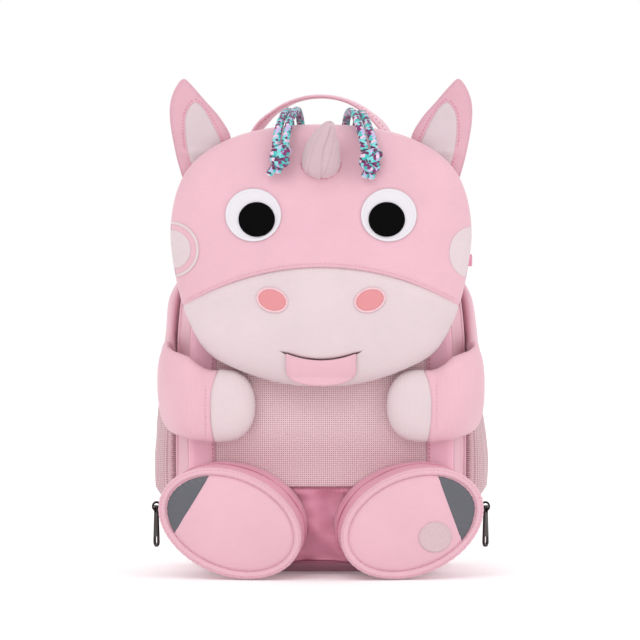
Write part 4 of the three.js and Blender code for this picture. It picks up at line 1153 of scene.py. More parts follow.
def make_eye(hand, side):
    eye_x, eye_z = side * 46.4, head_bottom + 118
    white = oval_line(eye_x, eye_z, 19.1, 18.1)
    face_patch(f"eye_white_{hand}", white, Vector((eye_x, 0, eye_z)), "white_embroidery")
    eye_rim = oval_line(eye_x, eye_z, 17.9, 16.9)
    satin_edge(f"eye_edge_{hand}", eye_rim, 2.3, 0.35, "white_embroidery", lift=0.95)
    pupil_x, pupil_z = side * 44.5 + 0.5, head_bottom + 115
    dark = oval_line(pupil_x, pupil_z, 12.4, 11.8)
    face_patch(f"pupil_{hand}", dark, Vector((pupil_x, 0, pupil_z)), "black_embroidery", lift=1.1)
    pupil_rim = oval_line(pupil_x, pupil_z, 11.6, 11.0)
    satin_edge(f"pupil_edge_{hand}", pupil_rim, 1.8, 0.3, "black_embroidery", lift=1.85)
    nose_x, nose_z = side * 33.4, head_bottom + 60
    nostril = oval_line(nose_x, nose_z, 9.9, 7.2, side * 0.33)
    face_patch(f"nostril_{hand}", nostril, Vector((nose_x, 0, nose_z)), "coral_embroidery")
    nostril_rim = oval_line(nose_x, nose_z, 10.3, 7.6, side * 0.33)
    satin_edge(f"nostril_edge_{hand}", nostril_rim, 1.7, 0.9, "nostril_edge")


def make_cheeks():
    spot_z = head_bottom + 94
    left, right = Vector((-103, 0, spot_z)), Vector((103, 0, spot_z - 2))
    face_patch("cheek_spot_L", oval_line(-103, spot_z, 13.5, 13.5), left, "pale_satin", thick=0.7)
    ring = oval_line(-103, spot_z, 19.3, 19.3)
    face_patch("cheek_ring_L", ring, left, "pale_satin", thick=0.7, hollow=0.9)
    face_patch("cheek_spot_R", oval_line(103, spot_z - 2, 15, 17.5), right, "pale_satin", thick=0.7)


for hand, side in hands:
    make_eye(hand, side)
make_cheeks()
print("patches done")

# %% [markdown]
# An arm is a padded tube, sewn to the bag's side at the shoulder, bent round the corner and ending in a
# pale mitten. A table of rows gives its middle, its half breadth and thickness, and how far its broad
# side leans over.

# %% Arms and hands
net_bulge, net_low, net_high, net_half = 8, 61, 150, 72.5
side_net_bulge, side_net_low, side_net_high, side_net_front, side_net_rear = 15, 40, 118, -12, 44
net_face = front_face - net_bulge * 0.75 - 1.4 - seam_gap
arm_broad, arm_thick, arm_height, arm_length = 25.5, 9, 118, 112
hand_y = net_face - seam_gap - arm_thick
wrist_x, hand_reach, limb_squareness = 76, 31, 0.87
arm_shares = [
    (0.8, 0, 0, 0.46, 0.2, 0), (0.62, 0.045, 0.07, 0.62, 0.5, 0.05),
    (0.4, 0.12, 0.045, 0.76, 0.52, 0.2), (0.19, 0.31, 0.09, 1.12, 0.62, 0.78),
]


def arm_rows():
    """Rows of (x, y, z, broad, thick, lean) from the shoulder to just short of the wrist's seam."""
    rows = []
    for up, fore, stand, broad, thick, lean in arm_shares:
        z = arm_height + up * arm_length
        x = bag_side(z) + seam_gap + (thick + stand) * arm_thick
        rows.append((x, -fore * bag_depth, z, broad * arm_broad, thick * arm_thick, lean))
    rows.append((bag_half_width + 4.95, front_face + 0.9, arm_height + 10.5, 30.5, 7.6, 1.2))
    rows.append((mix(wrist_x, 100, 0.66), mix(hand_y, front_face, 0.08), arm_height + 5.5, 28.3, 9, 1.5))
    rows.append((wrist_x + 4.3, hand_y, arm_height, 25, 9, math.pi / 2))
    rows.append((wrist_x + 0.3, hand_y, arm_height, 25, 9, math.pi / 2))
    return rows


hand_rows = []
for k in range(15):
    reach = math.sin(math.pi / 2 * k / 14)
    hand_rows.append((reach, max(0.02, 0.98 * (1 - reach**3.4) ** 0.5), max(0.04, (1 - reach**4) ** 0.45)))


def padded_tube(name, rows, side, finish, nodes, columns, steps, relief, cut, wrist=None):
    """A padded tube through rows of (x, y, z, broad, thick, lean)."""
    middles = smooth_line([row[:3] for row in rows], steps)
    sizes = smooth_rows([row[3:] for row in rows], [row[:3] for row in rows], steps)

    def place(u, v):
        i = round(v * steps)
        broad, thick, lean = sizes[i]
        before, after = middles[max(i - 1, 0)], middles[min(i + 1, steps)]
        broad_way = Vector((0, -math.cos(lean), math.sin(lean)))
        thick_way = (after - before).cross(broad_way).normalized()
        angle = math.tau * u
        puff = 1 + relief(u, v) / thick if thick > 1 else 1
        wider = 1 + relief(u, v) * 0.4 / max(broad, 5)
        point = middles[i] + broad_way * power(math.cos(angle), limb_squareness) * broad * wider
        point += thick_way * power(math.sin(angle), limb_squareness) * thick * puff
        if wrist:
            point.x -= wrist(v) * (5.5 if math.cos(angle) > 0 else 2.8) * math.cos(angle) ** 2
        return side * point.x, point.y, point.z

    bm = surface(columns, steps, place, cut)
    return piece(name, closed(bm), finish, nodes=nodes)


def smooth_rows(values, places, steps):
    """The same smooth curve's values at each step, for rows that belong to places."""
    reach = reaches([Vector(p) for p in places])
    found = []
    for k in range(steps + 1):
        wanted = reach[-1] * k / steps
        i = min(bisect.bisect_right(reach, wanted) - 1, len(reach) - 2)
        share = (wanted - reach[i]) / (reach[i + 1] - reach[i])
        ease = share * share * (3 - 2 * share)
        found.append(tuple(mix(a, b, ease) for a, b in zip(values[i], values[i + 1])))
    return found


def make_arm(hand, side):
    def arm_relief(u, v):
        wave = 0.9 * folds(math.cos(math.tau * u) * 20, v * 150, side * 30, 0.03, 11)
        crease = -1.6 * bump(v - 0.56, 0.02) * max(0, math.cos(math.tau * (u - 0.02)))
        seam = -1.0 * bump((1 - v) * 150, 1.6) - 0.35 * bump((1 - v) * 150 - 3, 0.8)
        return wave + crease + seam

    def hand_relief(u, v):
        return -1.1 * bump(v * 45, 1.6) + 0.5 * folds(math.cos(math.tau * u) * 15, v * 30, side * 9, 0.05, 12)

    padded_tube(f"arm_{hand}", arm_rows(), side, "pink_satin", [f"arm_{hand}"], 64, 150, arm_relief,
                (86, 150), wrist=lambda v: max(0, 1 - (1 - v) * 12) ** 1.5)
    rows = []
    for reach, broad, thick in hand_rows:
        x = wrist_x - hand_reach * reach
        rows.append((x, hand_y, arm_height, arm_broad * broad, arm_thick * thick, math.pi / 2))
    padded_tube(f"hand_{hand}", rows, side, "pale_satin", [f"hand_{hand}"], 64, 60, hand_relief,
                (86, 31), wrist=lambda v: (1 - v) ** 1.5)


for hand, side in hands:
    make_arm(hand, side)
print("arms and hands done")

# %% [markdown]
# Each foot is a small zipped pocket: a tapering gusset, a thick satin piping round the sole and a padded
# sole. All of them are rings of the same tilted oval, which leans back towards its outer side.

# %% The foot's rings
foot_long, foot_short, foot_tilt, foot_depth = 51, 35.7, 0.384, 35
foot_base_across, foot_across, foot_base_rise, foot_lean = 54.5, 62.5, 5, 0.14
gusset_share, foot_zip_share = 0.915, 0.6
foot_middle = math.hypot(foot_long * math.sin(foot_tilt), foot_short * math.cos(foot_tilt)) + seam_gap
foot_start = front_face - 1.4 - seam_gap * 2
pipe_radius = 2.7
lid_long, lid_short = foot_long - 2 * pipe_radius - seam_gap, foot_short - 2 * pipe_radius - seam_gap
lid_dome = 4


def foot_point(side, angle, share, long_half, short_half, forward=0.0):
    across = mix(foot_base_across, foot_across, share)
    u, v = math.cos(angle) * long_half, math.sin(angle) * short_half
    out = u * math.cos(foot_tilt) - v * math.sin(foot_tilt)
    z = foot_middle + foot_base_rise * (1 - share) + u * math.sin(foot_tilt) + v * math.cos(foot_tilt)
    y = foot_start - foot_depth * share - forward + out * foot_lean * share
    return Vector((side * (across + out), y, max(0.2, z)))


def foot_taper(share):
    """How much of the sole's size the gusset has at a share of its depth."""
    return mix(0.92, 0.985, share)


def sole_point(side, angle, size, forward):
    """A point of the sole: size is the share of the padded lid's own oval."""
    return foot_point(side, angle, 1, lid_long * size, lid_short * size, forward)


def lid_swell(side, angle, size):
    """How far the padded sole stands out, with puckers at its edge and a few shallow dents."""
    pucker = 0.25 * math.sin(angle * 46 + 3 * folds(angle * 13, 0, side, 0.05, 5)) * bump(1 - size, 0.1)
    dents = 0.6 * folds(math.cos(angle) * size * 40, math.sin(angle) * size * 28, side * 7, 0.04, 15)
    return lid_dome * math.sqrt(max(0, 1 - size**2.6)) + pucker + dents * (1 - size)


print("foot's middle: %.1f mm up" % foot_middle)

# %% Gusset, piping and sole of each foot
foot_run = math.tau * math.sqrt((foot_long**2 + foot_short**2) / 2)


def make_foot_cloth(hand, side):
    def gusset_place(u, v):
        share = v * gusset_share
        taper = foot_taper(share)
        angle = math.tau * u
        swell = (1.2 + 0.7 * folds(u * 160, v * 20, side * 9, 0.09, 14)) * math.sin(math.pi * v)
        swell -= 1.1 * bump((v - foot_zip_share) * foot_depth, 1.4)
        point = foot_point(side, angle, share, foot_long * taper + swell, foot_short * taper + swell)
        limit = mix(91, 118, min(1, v * 2.2) ** 0.6)
        point.x = side * min(side * point.x, limit)
        return point

    bm = surface(140, 30, gusset_place, (foot_run, foot_depth))
    face_outwards(bm, (side * 57, foot_start - 16, foot_middle))
    piece(f"foot_gusset_{hand}", bm, "rose_satin", nodes=[f"foot_gusset_{hand}"], wall=1.4)

    def pipe_place(u, v):
        turn = -math.tau * v
        pucker = 0.05 * math.sin(math.tau * u * 60 + 4 * folds(u * 99, 0, 0, 0.05, 3))
        grow = math.cos(turn) * pipe_radius * (1 + pucker)
        reach = grow - pipe_radius
        return foot_point(side, math.tau * u, 1, foot_long + reach, foot_short + reach,
                          math.sin(turn) * pipe_radius)

    bm = surface(240, 14, pipe_place, (foot_run, math.tau * pipe_radius))
    bmesh.ops.recalc_face_normals(bm, faces=bm.faces)
    piece(f"foot_piping_{hand}", bm, "pink_satin", nodes=[f"foot_piping_{hand}"])

    def lid_place(u, v):
        angle = math.tau * u
        if v <= 0.85:
            size = v / 0.85
            ease = 1 - (1 - size) ** 1.3
            rise = lid_swell(side, angle, ease) - 0.8 * bump(1 - ease, 0.05)
            return sole_point(side, angle, max(ease * 1.04, 0.001), rise)
        back = (v - 0.85) / 0.15
        return sole_point(side, angle, max(1 - back, 0.001), -1 - 3.5 * min(1, back * 3))

    bm = surface(120, 44, lid_place, planar=True)
    bmesh.ops.recalc_face_normals(bm, faces=bm.faces)
    piece(f"foot_lid_{hand}", bm, "pink_satin", nodes=[f"foot_lid_{hand}"])


for hand, side in hands:
    make_foot_cloth(hand, side)
print("feet cloth done")

# %% [markdown]
# The net pockets are sheets of air mesh that belly out between their seams. Their upper edge is bound
# with elastic, which gathers the cloth of the side pockets into small pleats.

# %% Net pockets
def belly(across, up):
    return math.sqrt(max(0, 1 - across**4)) * min(1, max(0, up) * 4.5) ** 0.6


def make_front_net():
    def place(u, v):
        across = mix(-1, 1, u)
        z = mix(net_low, net_high, v)
        rise = min(1, max(0, (v - 0.1) / 0.4))
        out = seam_gap + 1.2 + net_bulge * belly(across, 1) * rise * rise * (3 - 2 * rise)
        out += 0.8 * folds(across * net_half, 0, z, 0.03, 16) * (1 - abs(across) ** 6)
        return across * net_half, front_face - out, z

    bm = surface(90, 60, place, planar=True)
    net = piece("front_net", face_outwards(bm, (0, 0, 100)), "air_mesh", nodes=["front_net"], wall=1.0)


def make_side_net(hand, side):
    def place(u, v):
        across = mix(-1, 1, u)
        z = mix(side_net_low, side_net_high, v)
        pleat = 1.3 * math.sin(across * 17 + 2 * folds(across * 40, 0, side, 0.05, 17)) * (0.25 + 0.75 * v**2)
        out = bag_side(z) + 0.6 + 1.2 + side_net_bulge * belly(across, v) * (1 - 0.35 * v**3)
        pleat += 2.6 * folds(across * 34, z * 0.5, side * 5, 0.05, 18)
        out += pleat * (1 - abs(across) ** 4) * min(1, v * 5)
        return side * out, mix(side_net_front, side_net_rear, u), z

    bm = surface(80, 60, place, (66, 84))
    face_outwards(bm, (0, 16, 80))
    net = piece(f"side_net_{hand}", bm, "side_mesh", nodes=[f"side_net_{hand}"], wall=1.0)


make_front_net()
for hand, side in hands:
    make_side_net(hand, side)
print("nets done")

# %% [markdown]
# The tongue is a stuffed flap that comes out of the mouth's slit and hangs over the chin.

# %% Tongue
def tongue_place(u, v):
    across = mix(-1, 1, u)
    x = 24 * power(across, 0.9)
    low = 150 - 7.9 - 9.6 * math.sqrt(max(0, 1 - across**2))
    top = mouth_z(x)
    if v < 0.12:
        root = on_face(x, top)
        return root.x, root.y + mix(6, -1.6, (v / 0.12) ** 1.5), root.z + mix(0.3, 0.1, v / 0.12)
    z = mix(top + 0.1, low, (v - 0.12) / 0.88)
    held = on_face(x, max(z, 138.5), 2.2)
    edge = math.sqrt(max(0, 1 - abs(across) ** 10)) * math.sqrt(max(0, 1 - ((v - 0.12) / 0.88) ** 14))
    seam = 0.5 * bump(24 * (1 - abs(across)) - 2.2, 0.6)
    return x, held.y - 0.9 * edge + seam, z


tongue = face_outwards(surface(60, 40, tongue_place, planar=True), (0, front_face, 150))
piece("tongue", tongue, "pink_satin", nodes=["tongue"], wall=1.7)
print("tongue done")

# %% [markdown]
# Straps and the handle are flat bands with soft edges. The band's section is a rounded rectangle that
# follows a curve, with its broad side along a direction that each row gives.

# %% Bands
def flat_band(name, rows, flats, half_width, half_thick, finish, nodes, steps=120, columns=28,
              edge=0.0):
    """A band through rows of (x, y, z) whose broad side points along flats."""
    middles = smooth_line(rows, steps)
    turns = smooth_rows(flats, rows, steps)
    run = length_of(middles)

    def place(u, v):
        i = round(v * steps)
        before, after = middles[max(i - 1, 0)], middles[min(i + 1, steps)]
        along = (after - before).normalized()
        flat = Vector(turns[i])
        flat = (flat - along * flat.dot(along)).normalized()
        over = along.cross(flat)
        angle = math.tau * u
        wide = power(math.cos(angle), 0.55)
        thick = power(math.sin(angle), 0.75)
        groove = 1 - edge * bump(abs(wide) - 0.8, 0.05)
        return middles[i] + flat * wide * half_width + over * thick * half_thick * groove

    bm = surface(columns, steps, place, (half_width * 4, run))
    return piece(name, closed(bm), finish, nodes=nodes)


handle_span, handle_rise, handle_back = 56, 33.4, 34
handle_shares = [
    (1, 0, 0), (0.89, 0.28, 0.2), (0.77, 0.53, 0.24), (0.54, 0.79, 0.11), (0.28, 0.95, 0.03), (0, 1, 0),
]


def handle_rows():
    foot = bag_top(handle_span) + 2.5
    rise = bag_height + handle_rise - 2.2 - foot
    rows, turns = [], []
    for side, shares in ((-1, handle_shares), (1, handle_shares[-2::-1])):
        for out, up, turn in shares:
            rows.append(Vector((side * out * handle_span, handle_back, foot + up * rise)))
            turns.append(-turn if side < 0 else turn)
    return rows, turns


def part_of(rows, turns, first, last, steps):
    """The stretch of a curve between two shares of its length, with its broad directions."""
    fine = smooth_line(rows, 240)
    angles = smooth_rows([(t,) for t in turns], rows, 240)
    line, flats = [], []
    for k in range(steps + 1):
        i = round(mix(first, last, k / steps) * 240)
        along = (fine[min(i + 1, 240)] - fine[max(i - 1, 0)]).normalized()
        line.append(fine[i])
        flats.append(tuple(Matrix.Rotation(angles[i][0], 3, along) @ Vector((0, 1, 0))))
    return line, flats


rows, turns = handle_rows()
line, flats = part_of(rows, turns, 0.128, 0.872, 24)
flat_band("handle", line, flats, 11, 1.5, "pink_satin", ["handle"], edge=0.25)
for hand, first, last in (("L", 0, 0.125), ("R", 0.875, 1)):
    line, flats = part_of(rows, turns, first, last, 6)
    flat_band(f"handle_end_{hand}", line, flats, 9.9, 1.3, "grey_webbing", [f"handle_end_{hand}"], steps=40)
print("handle done")

# %% Shoulder straps and their webbing
strap_shares = [
    (0, 0.02), (0.06, 0.1), (0.16, 0.56), (0.36, 1), (0.6, 0.86), (0.84, 0.4), (0.94, 0.25), (1, 0.24),
]
strap_top, strap_foot = 272, 96
strap_top_across, strap_foot_across, webbing_foot_across = 34, 62, 82


def strap_rows(side):
    return [Vector((side * mix(strap_top_across, strap_foot_across, down), 59.3 + off * 24,
                    mix(strap_top, strap_foot, down))) for down, off in strap_shares]


def make_strap(hand, side):
    rows = strap_rows(side)
    flats = [(1, 0, 0)] * len(rows)
    flat_band(f"shoulder_strap_{hand}", rows, flats, 21, 4, "pink_satin", [f"shoulder_strap_{hand}"],
              steps=150, columns=40, edge=0.3)
    foot = rows[-1]
    slot_top = strap_foot - seam_gap - 2.4
    web_top = slot_top - 22 - seam_gap
    near = back_face + 1.8 + seam_gap
    rows = []
    for share in (0, 0.08, 0.16, 0.45, 0.75, 1):
        spread = max(0, share - 0.12) / 0.88
        x = side * mix(strap_foot_across, webbing_foot_across, spread)
        rows.append((x, mix(foot[1], near, spread), mix(web_top, 24, share)))
    name = f"strap_webbing_{hand}"
    flat_band(name, rows, [(1, 0, 0)] * 6, 10, 0.9, "pink_webbing", [name])

    spine = smooth_line(strap_rows(side), 150)
    width = 17
    sewn = []
    for across in (-width, width):
        sewn.append([(Vector((x + across, y + 4.1, z)), (0, 1, 0)) for x, y, z in spine[8:140:2]])
    for first, last in ((8, 14), (14, 8)):
        ends = [spine[first], spine[last]]
        corners = [Vector((ends[0].x - width, ends[0].y + 4.1, ends[0].z)),
                   Vector((ends[1].x + width, ends[1].y + 4.1, ends[1].z))]
        sewn.append([(corners[0].lerp(corners[1], k / 20), (0, 1, 0)) for k in range(21)])
    strap_seams.extend(sewn)
    for low in (22, 27, 32):
        x = side * webbing_foot_across
        strap_seams.append([(Vector((x + k - 9, near + 1.0, low)), (0, 1, 0)) for k in range(19)])


strap_seams = []
for hand, side in hands:
    make_strap(hand, side)
print("straps done")

# %% [markdown]
# The hard parts keep the exact shape of the CAD model, but moulded and cast edges are never sharp. A copy
# of each CAD mesh has its doubles merged and its flat faces joined, and then its sharp edges are
# bevelled.

# %% Zip sliders, pull tabs and buckles
def rounded_copy(node_name, radius, finish, body="bag"):
    bm = bmesh.new()
    bm.from_mesh(frame["nodes"][node_name].data)
    bmesh.ops.remove_doubles(bm, verts=bm.verts, dist=1e-6)
    bmesh.ops.dissolve_limit(bm, angle_limit=math.radians(2), verts=bm.verts, edges=bm.edges)
    sharp = [e for e in bm.edges if len(e.link_faces) == 2 and e.calc_face_angle() > math.radians(35)]
    bmesh.ops.bevel(bm, geom=sharp, offset=radius / 1000, offset_type="OFFSET", segments=2, profile=0.5,
                    affect="EDGES", material=-1, clamp_overlap=True)
    return piece(node_name, bm, finish, body=body, nodes=[node_name])


for hand in ("L", "R"):
    rounded_copy(f"foot_slider_{hand}", 0.25, "zip_metal")
    rounded_copy(f"foot_pull_{hand}", 0.3, "zip_metal", body=f"foot_pull_{hand}")
    rounded_copy(f"hair_slider_{hand}", 0.25, "zip_metal")
    rounded_copy(f"strap_buckle_{hand}", 0.5, "buckle_plastic")
print("hard parts done")

# %% [markdown]
# On each sole a corner is covered with grey reflective cloth, and the right one has a plain round patch.
# Both lie on the sole's own swell.

# %% Reflectors and patch
def on_sole(side, x, z, lift=0.0):
    out = side * x - foot_across
    up = z - foot_middle
    u = out * math.cos(foot_tilt) + up * math.sin(foot_tilt)
    v = -out * math.sin(foot_tilt) + up * math.cos(foot_tilt)
    size = min(1, math.hypot(u / lid_long, v / lid_short))
    angle = math.atan2(v / lid_short, u / lid_long) % math.tau
    return Vector((x, foot_start - foot_depth - lid_swell(side, angle, size) + out * foot_lean - lift, z))


reflector_chords = {
    "L": (Vector((70.2, 0, 81.3)), Vector((108.9, 0, 17.1))),
    "R": (Vector((76.3, 0, 81.3)), Vector((99.7, 0, 17.1))),
}


def make_reflector(hand, side):
    top, foot = reflector_chords[hand]
    chord = (foot - top).normalized()

    def beyond(angle):
        rim = sole_point(1, angle, 1, 0)
        return (rim.x - top.x) * -chord.z + (rim.z - top.z) * chord.x

    angles = [math.radians(k * 0.5) for k in range(-240, 480)]
    inside = [a for a in angles if beyond(a) > 0]
    first, last = max(inside), min(inside)

    def place(u, v):
        rim = sole_point(1, mix(first, last, u), 0.995, 0)
        ends = [sole_point(1, a, 0.995, 0) for a in (first, last)]
        chord_spot = ends[0].lerp(ends[1], 0.5 - 0.5 * math.cos(math.pi * u))
        x, z = mix(chord_spot.x, rim.x, v), mix(chord_spot.z, rim.z, v)
        edge = min(1, v * 12, (1 - v) * 14)
        return on_sole(side, side * x, z, 0.2 + 0.5 * edge + 0.3 * folds(x, 0, z, 0.08, 23))

    bm = face_outwards(surface(60, 30, place, planar=True), (side * 57, foot_start, foot_middle))
    piece(f"foot_reflector_{hand}", bm, "reflective_tape", nodes=[f"foot_reflector_{hand}"])


for hand, side in hands:
    make_reflector(hand, side)


def badge_place(u, v):
    angle = math.tau * u
    rim = 0.9 * math.sqrt(max(0, 1 - v**16)) + 0.35 * bump(v - 0.88, 0.05)
    return on_sole(1, 78.3 + 11.5 * v * math.cos(angle), 28.9 + 10.6 * v * math.sin(angle), 0.2 + rim)


bm = face_outwards(surface(72, 24, badge_place, planar=True), (57, foot_start, foot_middle))
piece("foot_badge", bm, "plain_patch", nodes=["foot_badge"])
print("reflectors and patch done")

# %% [markdown]
# Seams are sewn with visible thread. A stitch is a small stretched ball, and a row of them is one joined
# mesh: each stitch is turned along its line and lies on the cloth.

# %% Stitches
def stitches(name, lines, finish, pitch=2.6, share=0.62, thread=0.45):
    """Rows of stitches along lines of (point, outward direction)."""
    bm = bmesh.new()
    for line in lines:
        points = [Vector(p) for p, way in line]
        reach = reaches(points)
        count = max(1, int(reach[-1] / pitch))
        for k in range(count):
            wanted = reach[-1] * (k + 0.5) / count
            i = min(bisect.bisect_right(reach, wanted) - 1, len(points) - 2)
            step = (wanted - reach[i]) / max(reach[i + 1] - reach[i], 1e-9)
            spot = points[i].lerp(points[i + 1], step)
            along = (points[i + 1] - points[i]).normalized()
            out = Vector(line[i][1]).normalized()
            side = along.cross(out).normalized()
            turn = Matrix((along, side, side.cross(along) * -1)).transposed().to_4x4()
            size = Matrix.Diagonal((pitch * share / 2000, thread / 1000, thread / 1000, 1))
            bmesh.ops.create_uvsphere(bm, u_segments=6, v_segments=4, radius=1,
                                      matrix=Matrix.Translation(at(*spot)) @ turn @ size)
    return piece(name, bm, finish)


def face_stitch_line(first, last, rule, steps=160, lift=0.15):
    line = []
    for k in range(steps + 1):
        x, z = rule(mix(first, last, k / steps))
        line.append((on_face(x, z, lift), face_normal(x, z)))
    return line


seam_stitches = face_stitch_line(-corner_x + 3, corner_x - 3, lambda x: (x, seam_z(x) + 2.7))
stitches("face_stitches", [seam_stitches], "pink_thread", thread=0.3)


def make_horn_seam():
    """Irregular stitches where the horn is sewn to the face."""
    random.seed(4)
    line = []
    for k in range(150):
        angle = math.tau * k / 149
        line.append((horn_foot_point(angle, random.uniform(-0.3, 0.9)), Vector((0, -1, 0))))
    stitches("horn_stitches", [line], "rose_thread", pitch=1.3, share=1.0, thread=0.4)


make_horn_seam()


def make_ear_stitches(hand, side):
    outline, core = ear_outline(side), ear_spot(side, ear_core_share, 0.5)
    line = []
    for p in ear_panel_line(side, 2.0):
        depth = ear_depth(ear_share(outline, core, p.x, p.z))
        line.append((Vector((p.x, ear_rear - depth - 0.1, p.z)), (0, -1, 0)))
    stitches(f"ear_stitches_{hand}", [line], "rose_thread", pitch=2.4, thread=0.35)


for hand, side in hands:
    make_ear_stitches(hand, side)
print("face, horn and ear stitches done")

# %% Stitches on arms, feet and panels
def make_limb_stitches(hand, side):
    cuff = []
    for k in range(73):
        angle = math.tau * k / 72
        up = power(math.cos(angle), limb_squareness) * 24.7
        out = power(math.sin(angle), limb_squareness) * 8.9
        cuff.append((Vector((side * (wrist_x + 3.4), hand_y - out, arm_height + up)), (0, -out / 9, up / 25)))
    rim = []
    for k in range(181):
        angle = math.tau * k / 180
        spot = foot_point(side, angle, 1, foot_long - 1.6, foot_short - 1.6, pipe_radius * 0.95)
        rim.append((spot, (0, -1, 0)))
    stitches(f"limb_stitches_{hand}", [cuff, rim], "pink_thread", pitch=2.6, thread=0.35)


for hand, side in hands:
    make_limb_stitches(hand, side)

across_rows = []
for height in (59.6, 57.2):
    across_rows.append([(Vector((x, front_face + 0.1, height)), (0, -1, 0)) for x in range(-74, 75, 2)])
for side in (-1, 1):
    across_rows.append([(Vector((side * 75, front_face + 0.1, z)), (0, -1, 0)) for z in range(60, 210, 3)])
stitches("panel_stitches", across_rows, "rose_thread", pitch=2.8, thread=0.4)
stitches("strap_stitches", strap_seams, "rose_thread", pitch=3.2, thread=0.4)
handle_seams = []
handle_middle = part_of(*handle_rows(), 0.14, 0.86, 80)[0]
for edge in (-9, 9):
    handle_seams.append([(p + Vector((0, edge, 0.4)), (0, 0, 1)) for p in handle_middle])
stitches("handle_stitches", handle_seams, "rose_thread", pitch=3.2, thread=0.35)
print("limb, panel, strap and handle stitches done")

# %% [markdown]
# Piping is a cord wrapped in cloth and sewn into a seam. It runs along both edges of the zip band and
# round the padded back, and thinner bindings edge the net pockets.

# %% Piping and bindings
def bag_piping(name, inset, y, radius, finish):
    line = [Vector((x, y, max(z, radius + 0.2))) for x, z in (around_bag(k / outline_steps, inset)
                                                             for k in range(outline_steps))]
    bm = tube(line, radius, 10, loop=True)
    bmesh.ops.recalc_face_normals(bm, faces=bm.faces)
    return piece(name, bm, finish)


bag_piping("piping_zip", 0.2, -34.2, 1.2, "pink_satin")
bag_piping("piping_zip_rear", 0.2, -25.2, 0.9, "pink_satin")
bag_piping("piping_back", 0.3, 48.8, 1.8, "rose_satin")


def binding(name, line, wide, thick):
    """A folded ribbon over an edge: a tube flattened across the edge."""
    return piece(name, closed(tube(line, thick, 14, flat=wide / thick)), "pink_satin")


for hand, side in hands:
    hem = []
    for k in range(81):
        across = mix(-1, 1, k / 80)
        pleat = 0.9 * math.sin(across * 17 + 2 * folds(across * 40, 0, side, 0.05, 17))
        out = bag_side(side_net_high) + 1.8 + side_net_bulge * belly(across, 1) * 0.65
        out += pleat * (1 - across**4)
        hem.append(Vector((side * out, mix(side_net_front, side_net_rear, k / 80), side_net_high - 1)))
    binding(f"side_net_hem_{hand}", hem, 3.0, 1.1)
hem = [Vector((x, front_face - 1.2 - net_bulge * belly(x / net_half, 1), net_high - 0.5))
       for x in range(-72, 73, 2)]
binding("front_net_hem", hem, 3.2, 1.2)
print("piping and bindings done")

# %% Webbing loop at the right side
loop_spots = ((91, -31), (101, -30.5), (104.6, -28), (101, -25.5), (91, -25))
loop_line = [Vector((x, y, 217)) for x, y in loop_spots]
flat_band("side_loop", loop_line, [(0, 0, 1)] * 5, 4.2, 0.7, "pink_webbing", [], steps=60)
print("side loop done")

# %% [markdown]
# A zip's coil is a nylon spiral along the middle of its tape. From outside it reads as a row of short
# bars across the tape, so it is made as bars, for the main zip and for the zips of the feet.

# %% Zip coils
def coil(name, line, length):
    """Bars from front to back across a line of (point, outward direction)."""
    bm = bmesh.new()
    for point, out in line:
        out = Vector(out).normalized()
        across = (Vector((0, 1, 0)) - out * out.y).normalized()
        turn = Matrix((across, out.cross(across), out)).transposed().to_4x4()
        size = Matrix.Diagonal((length / 2000, 0.00055, 0.00055, 1))
        bmesh.ops.create_uvsphere(bm, u_segments=6, v_segments=4, radius=1,
                                  matrix=Matrix.Translation(at(*point)) @ turn @ size)
    return piece(name, bm, "rose_thread")


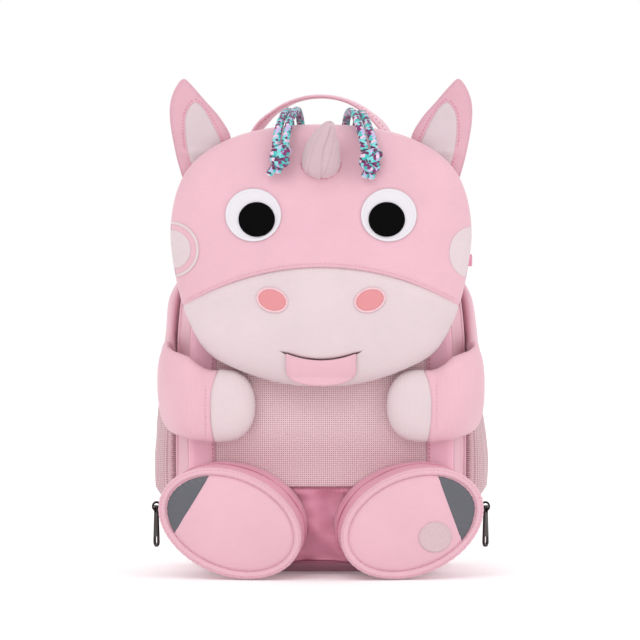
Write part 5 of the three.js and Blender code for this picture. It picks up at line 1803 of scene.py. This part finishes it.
zip_line = []
for k in range(1440):
    angle = mix(zip_end, math.pi - zip_end, k / 1439)
    x, z = bag_point(angle, -0.1)
    if zip_line and (Vector((x, -29.7, z)) - zip_line[-1][0]).length < 1.5:
        continue
    zip_line.append((Vector((x, -29.7, z)), Vector((x, 0, z - widest_height))))
coil("main_zip_coil", zip_line, 3.6)
for hand, side in hands:
    line = []
    for k in range(150):
        angle = mix(math.radians(-30), math.radians(215), k / 149)
        share = foot_zip_share * gusset_share
        taper = foot_taper(share)
        spot = foot_point(side, angle, share, foot_long * taper + 0.9, foot_short * taper + 0.9)
        core = foot_point(side, angle, share, foot_long * taper * 0.5, foot_short * taper * 0.5)
        line.append((spot, spot - core))
    coil(f"foot_zip_coil_{hand}", line, 3.0)
print("coils done")

# %% [markdown]
# The studio is a pale floor, a big soft light in front on the left, a fill on the right, one behind and
# an even white sky. The floor is wide enough that no edge shows from any side.

# %% Studio
def soft_light(name, place, aim, size, power_watts):
    light = bpy.data.lights.new(name, "AREA")
    light.shape = "DISK"
    light.size = size
    light.energy = power_watts
    lamp = bpy.data.objects.new(name, light)
    bpy.context.scene.collection.objects.link(lamp)
    lamp.location = place
    lamp.rotation_euler = (Vector(aim) - Vector(place)).to_track_quat("-Z", "Y").to_euler()


soft_light("key", (-0.5, -1.5, 1.5), (0, 0, 0.15), 1.2, 7)
soft_light("fill_right", (1.4, -1.1, 0.9), (0, 0, 0.15), 1.0, 3)
soft_light("rim_back", (0.2, 1.5, 1.3), (0, 0, 0.2), 1.0, 3)
world = bpy.data.worlds.new("studio")
bpy.context.scene.world = world
world.use_nodes = True
world.node_tree.nodes["Background"].inputs["Color"].default_value = (1, 1, 1, 1)
world.node_tree.nodes["Background"].inputs["Strength"].default_value = 1.0
bpy.context.scene.view_settings.view_transform = "Standard"

floor_mesh = bmesh.new()
bmesh.ops.create_grid(floor_mesh, x_segments=2, y_segments=2, size=6)
floor_data = bpy.data.meshes.new("floor")
floor_mesh.to_mesh(floor_data)
floor_mesh.free()
floor = bpy.data.objects.new("floor", floor_data)
bpy.context.scene.collection.objects.link(floor)
paper, nodes, links, shader = new_material("floor_paper")
shader.inputs["Base Color"].default_value = (0.92, 0.92, 0.92, 1)
shader.inputs["Roughness"].default_value = 0.95
shader.inputs["Emission Color"].default_value = (1, 1, 1, 1)
shader.inputs["Emission Strength"].default_value = 0.12
floor_data.materials.append(paper)
floor.location.z = -0.0004
print("studio ready")

# %% [markdown]
# The last cell prints how many pieces were made.

# %% Pieces made
print("pieces made:", len(made))
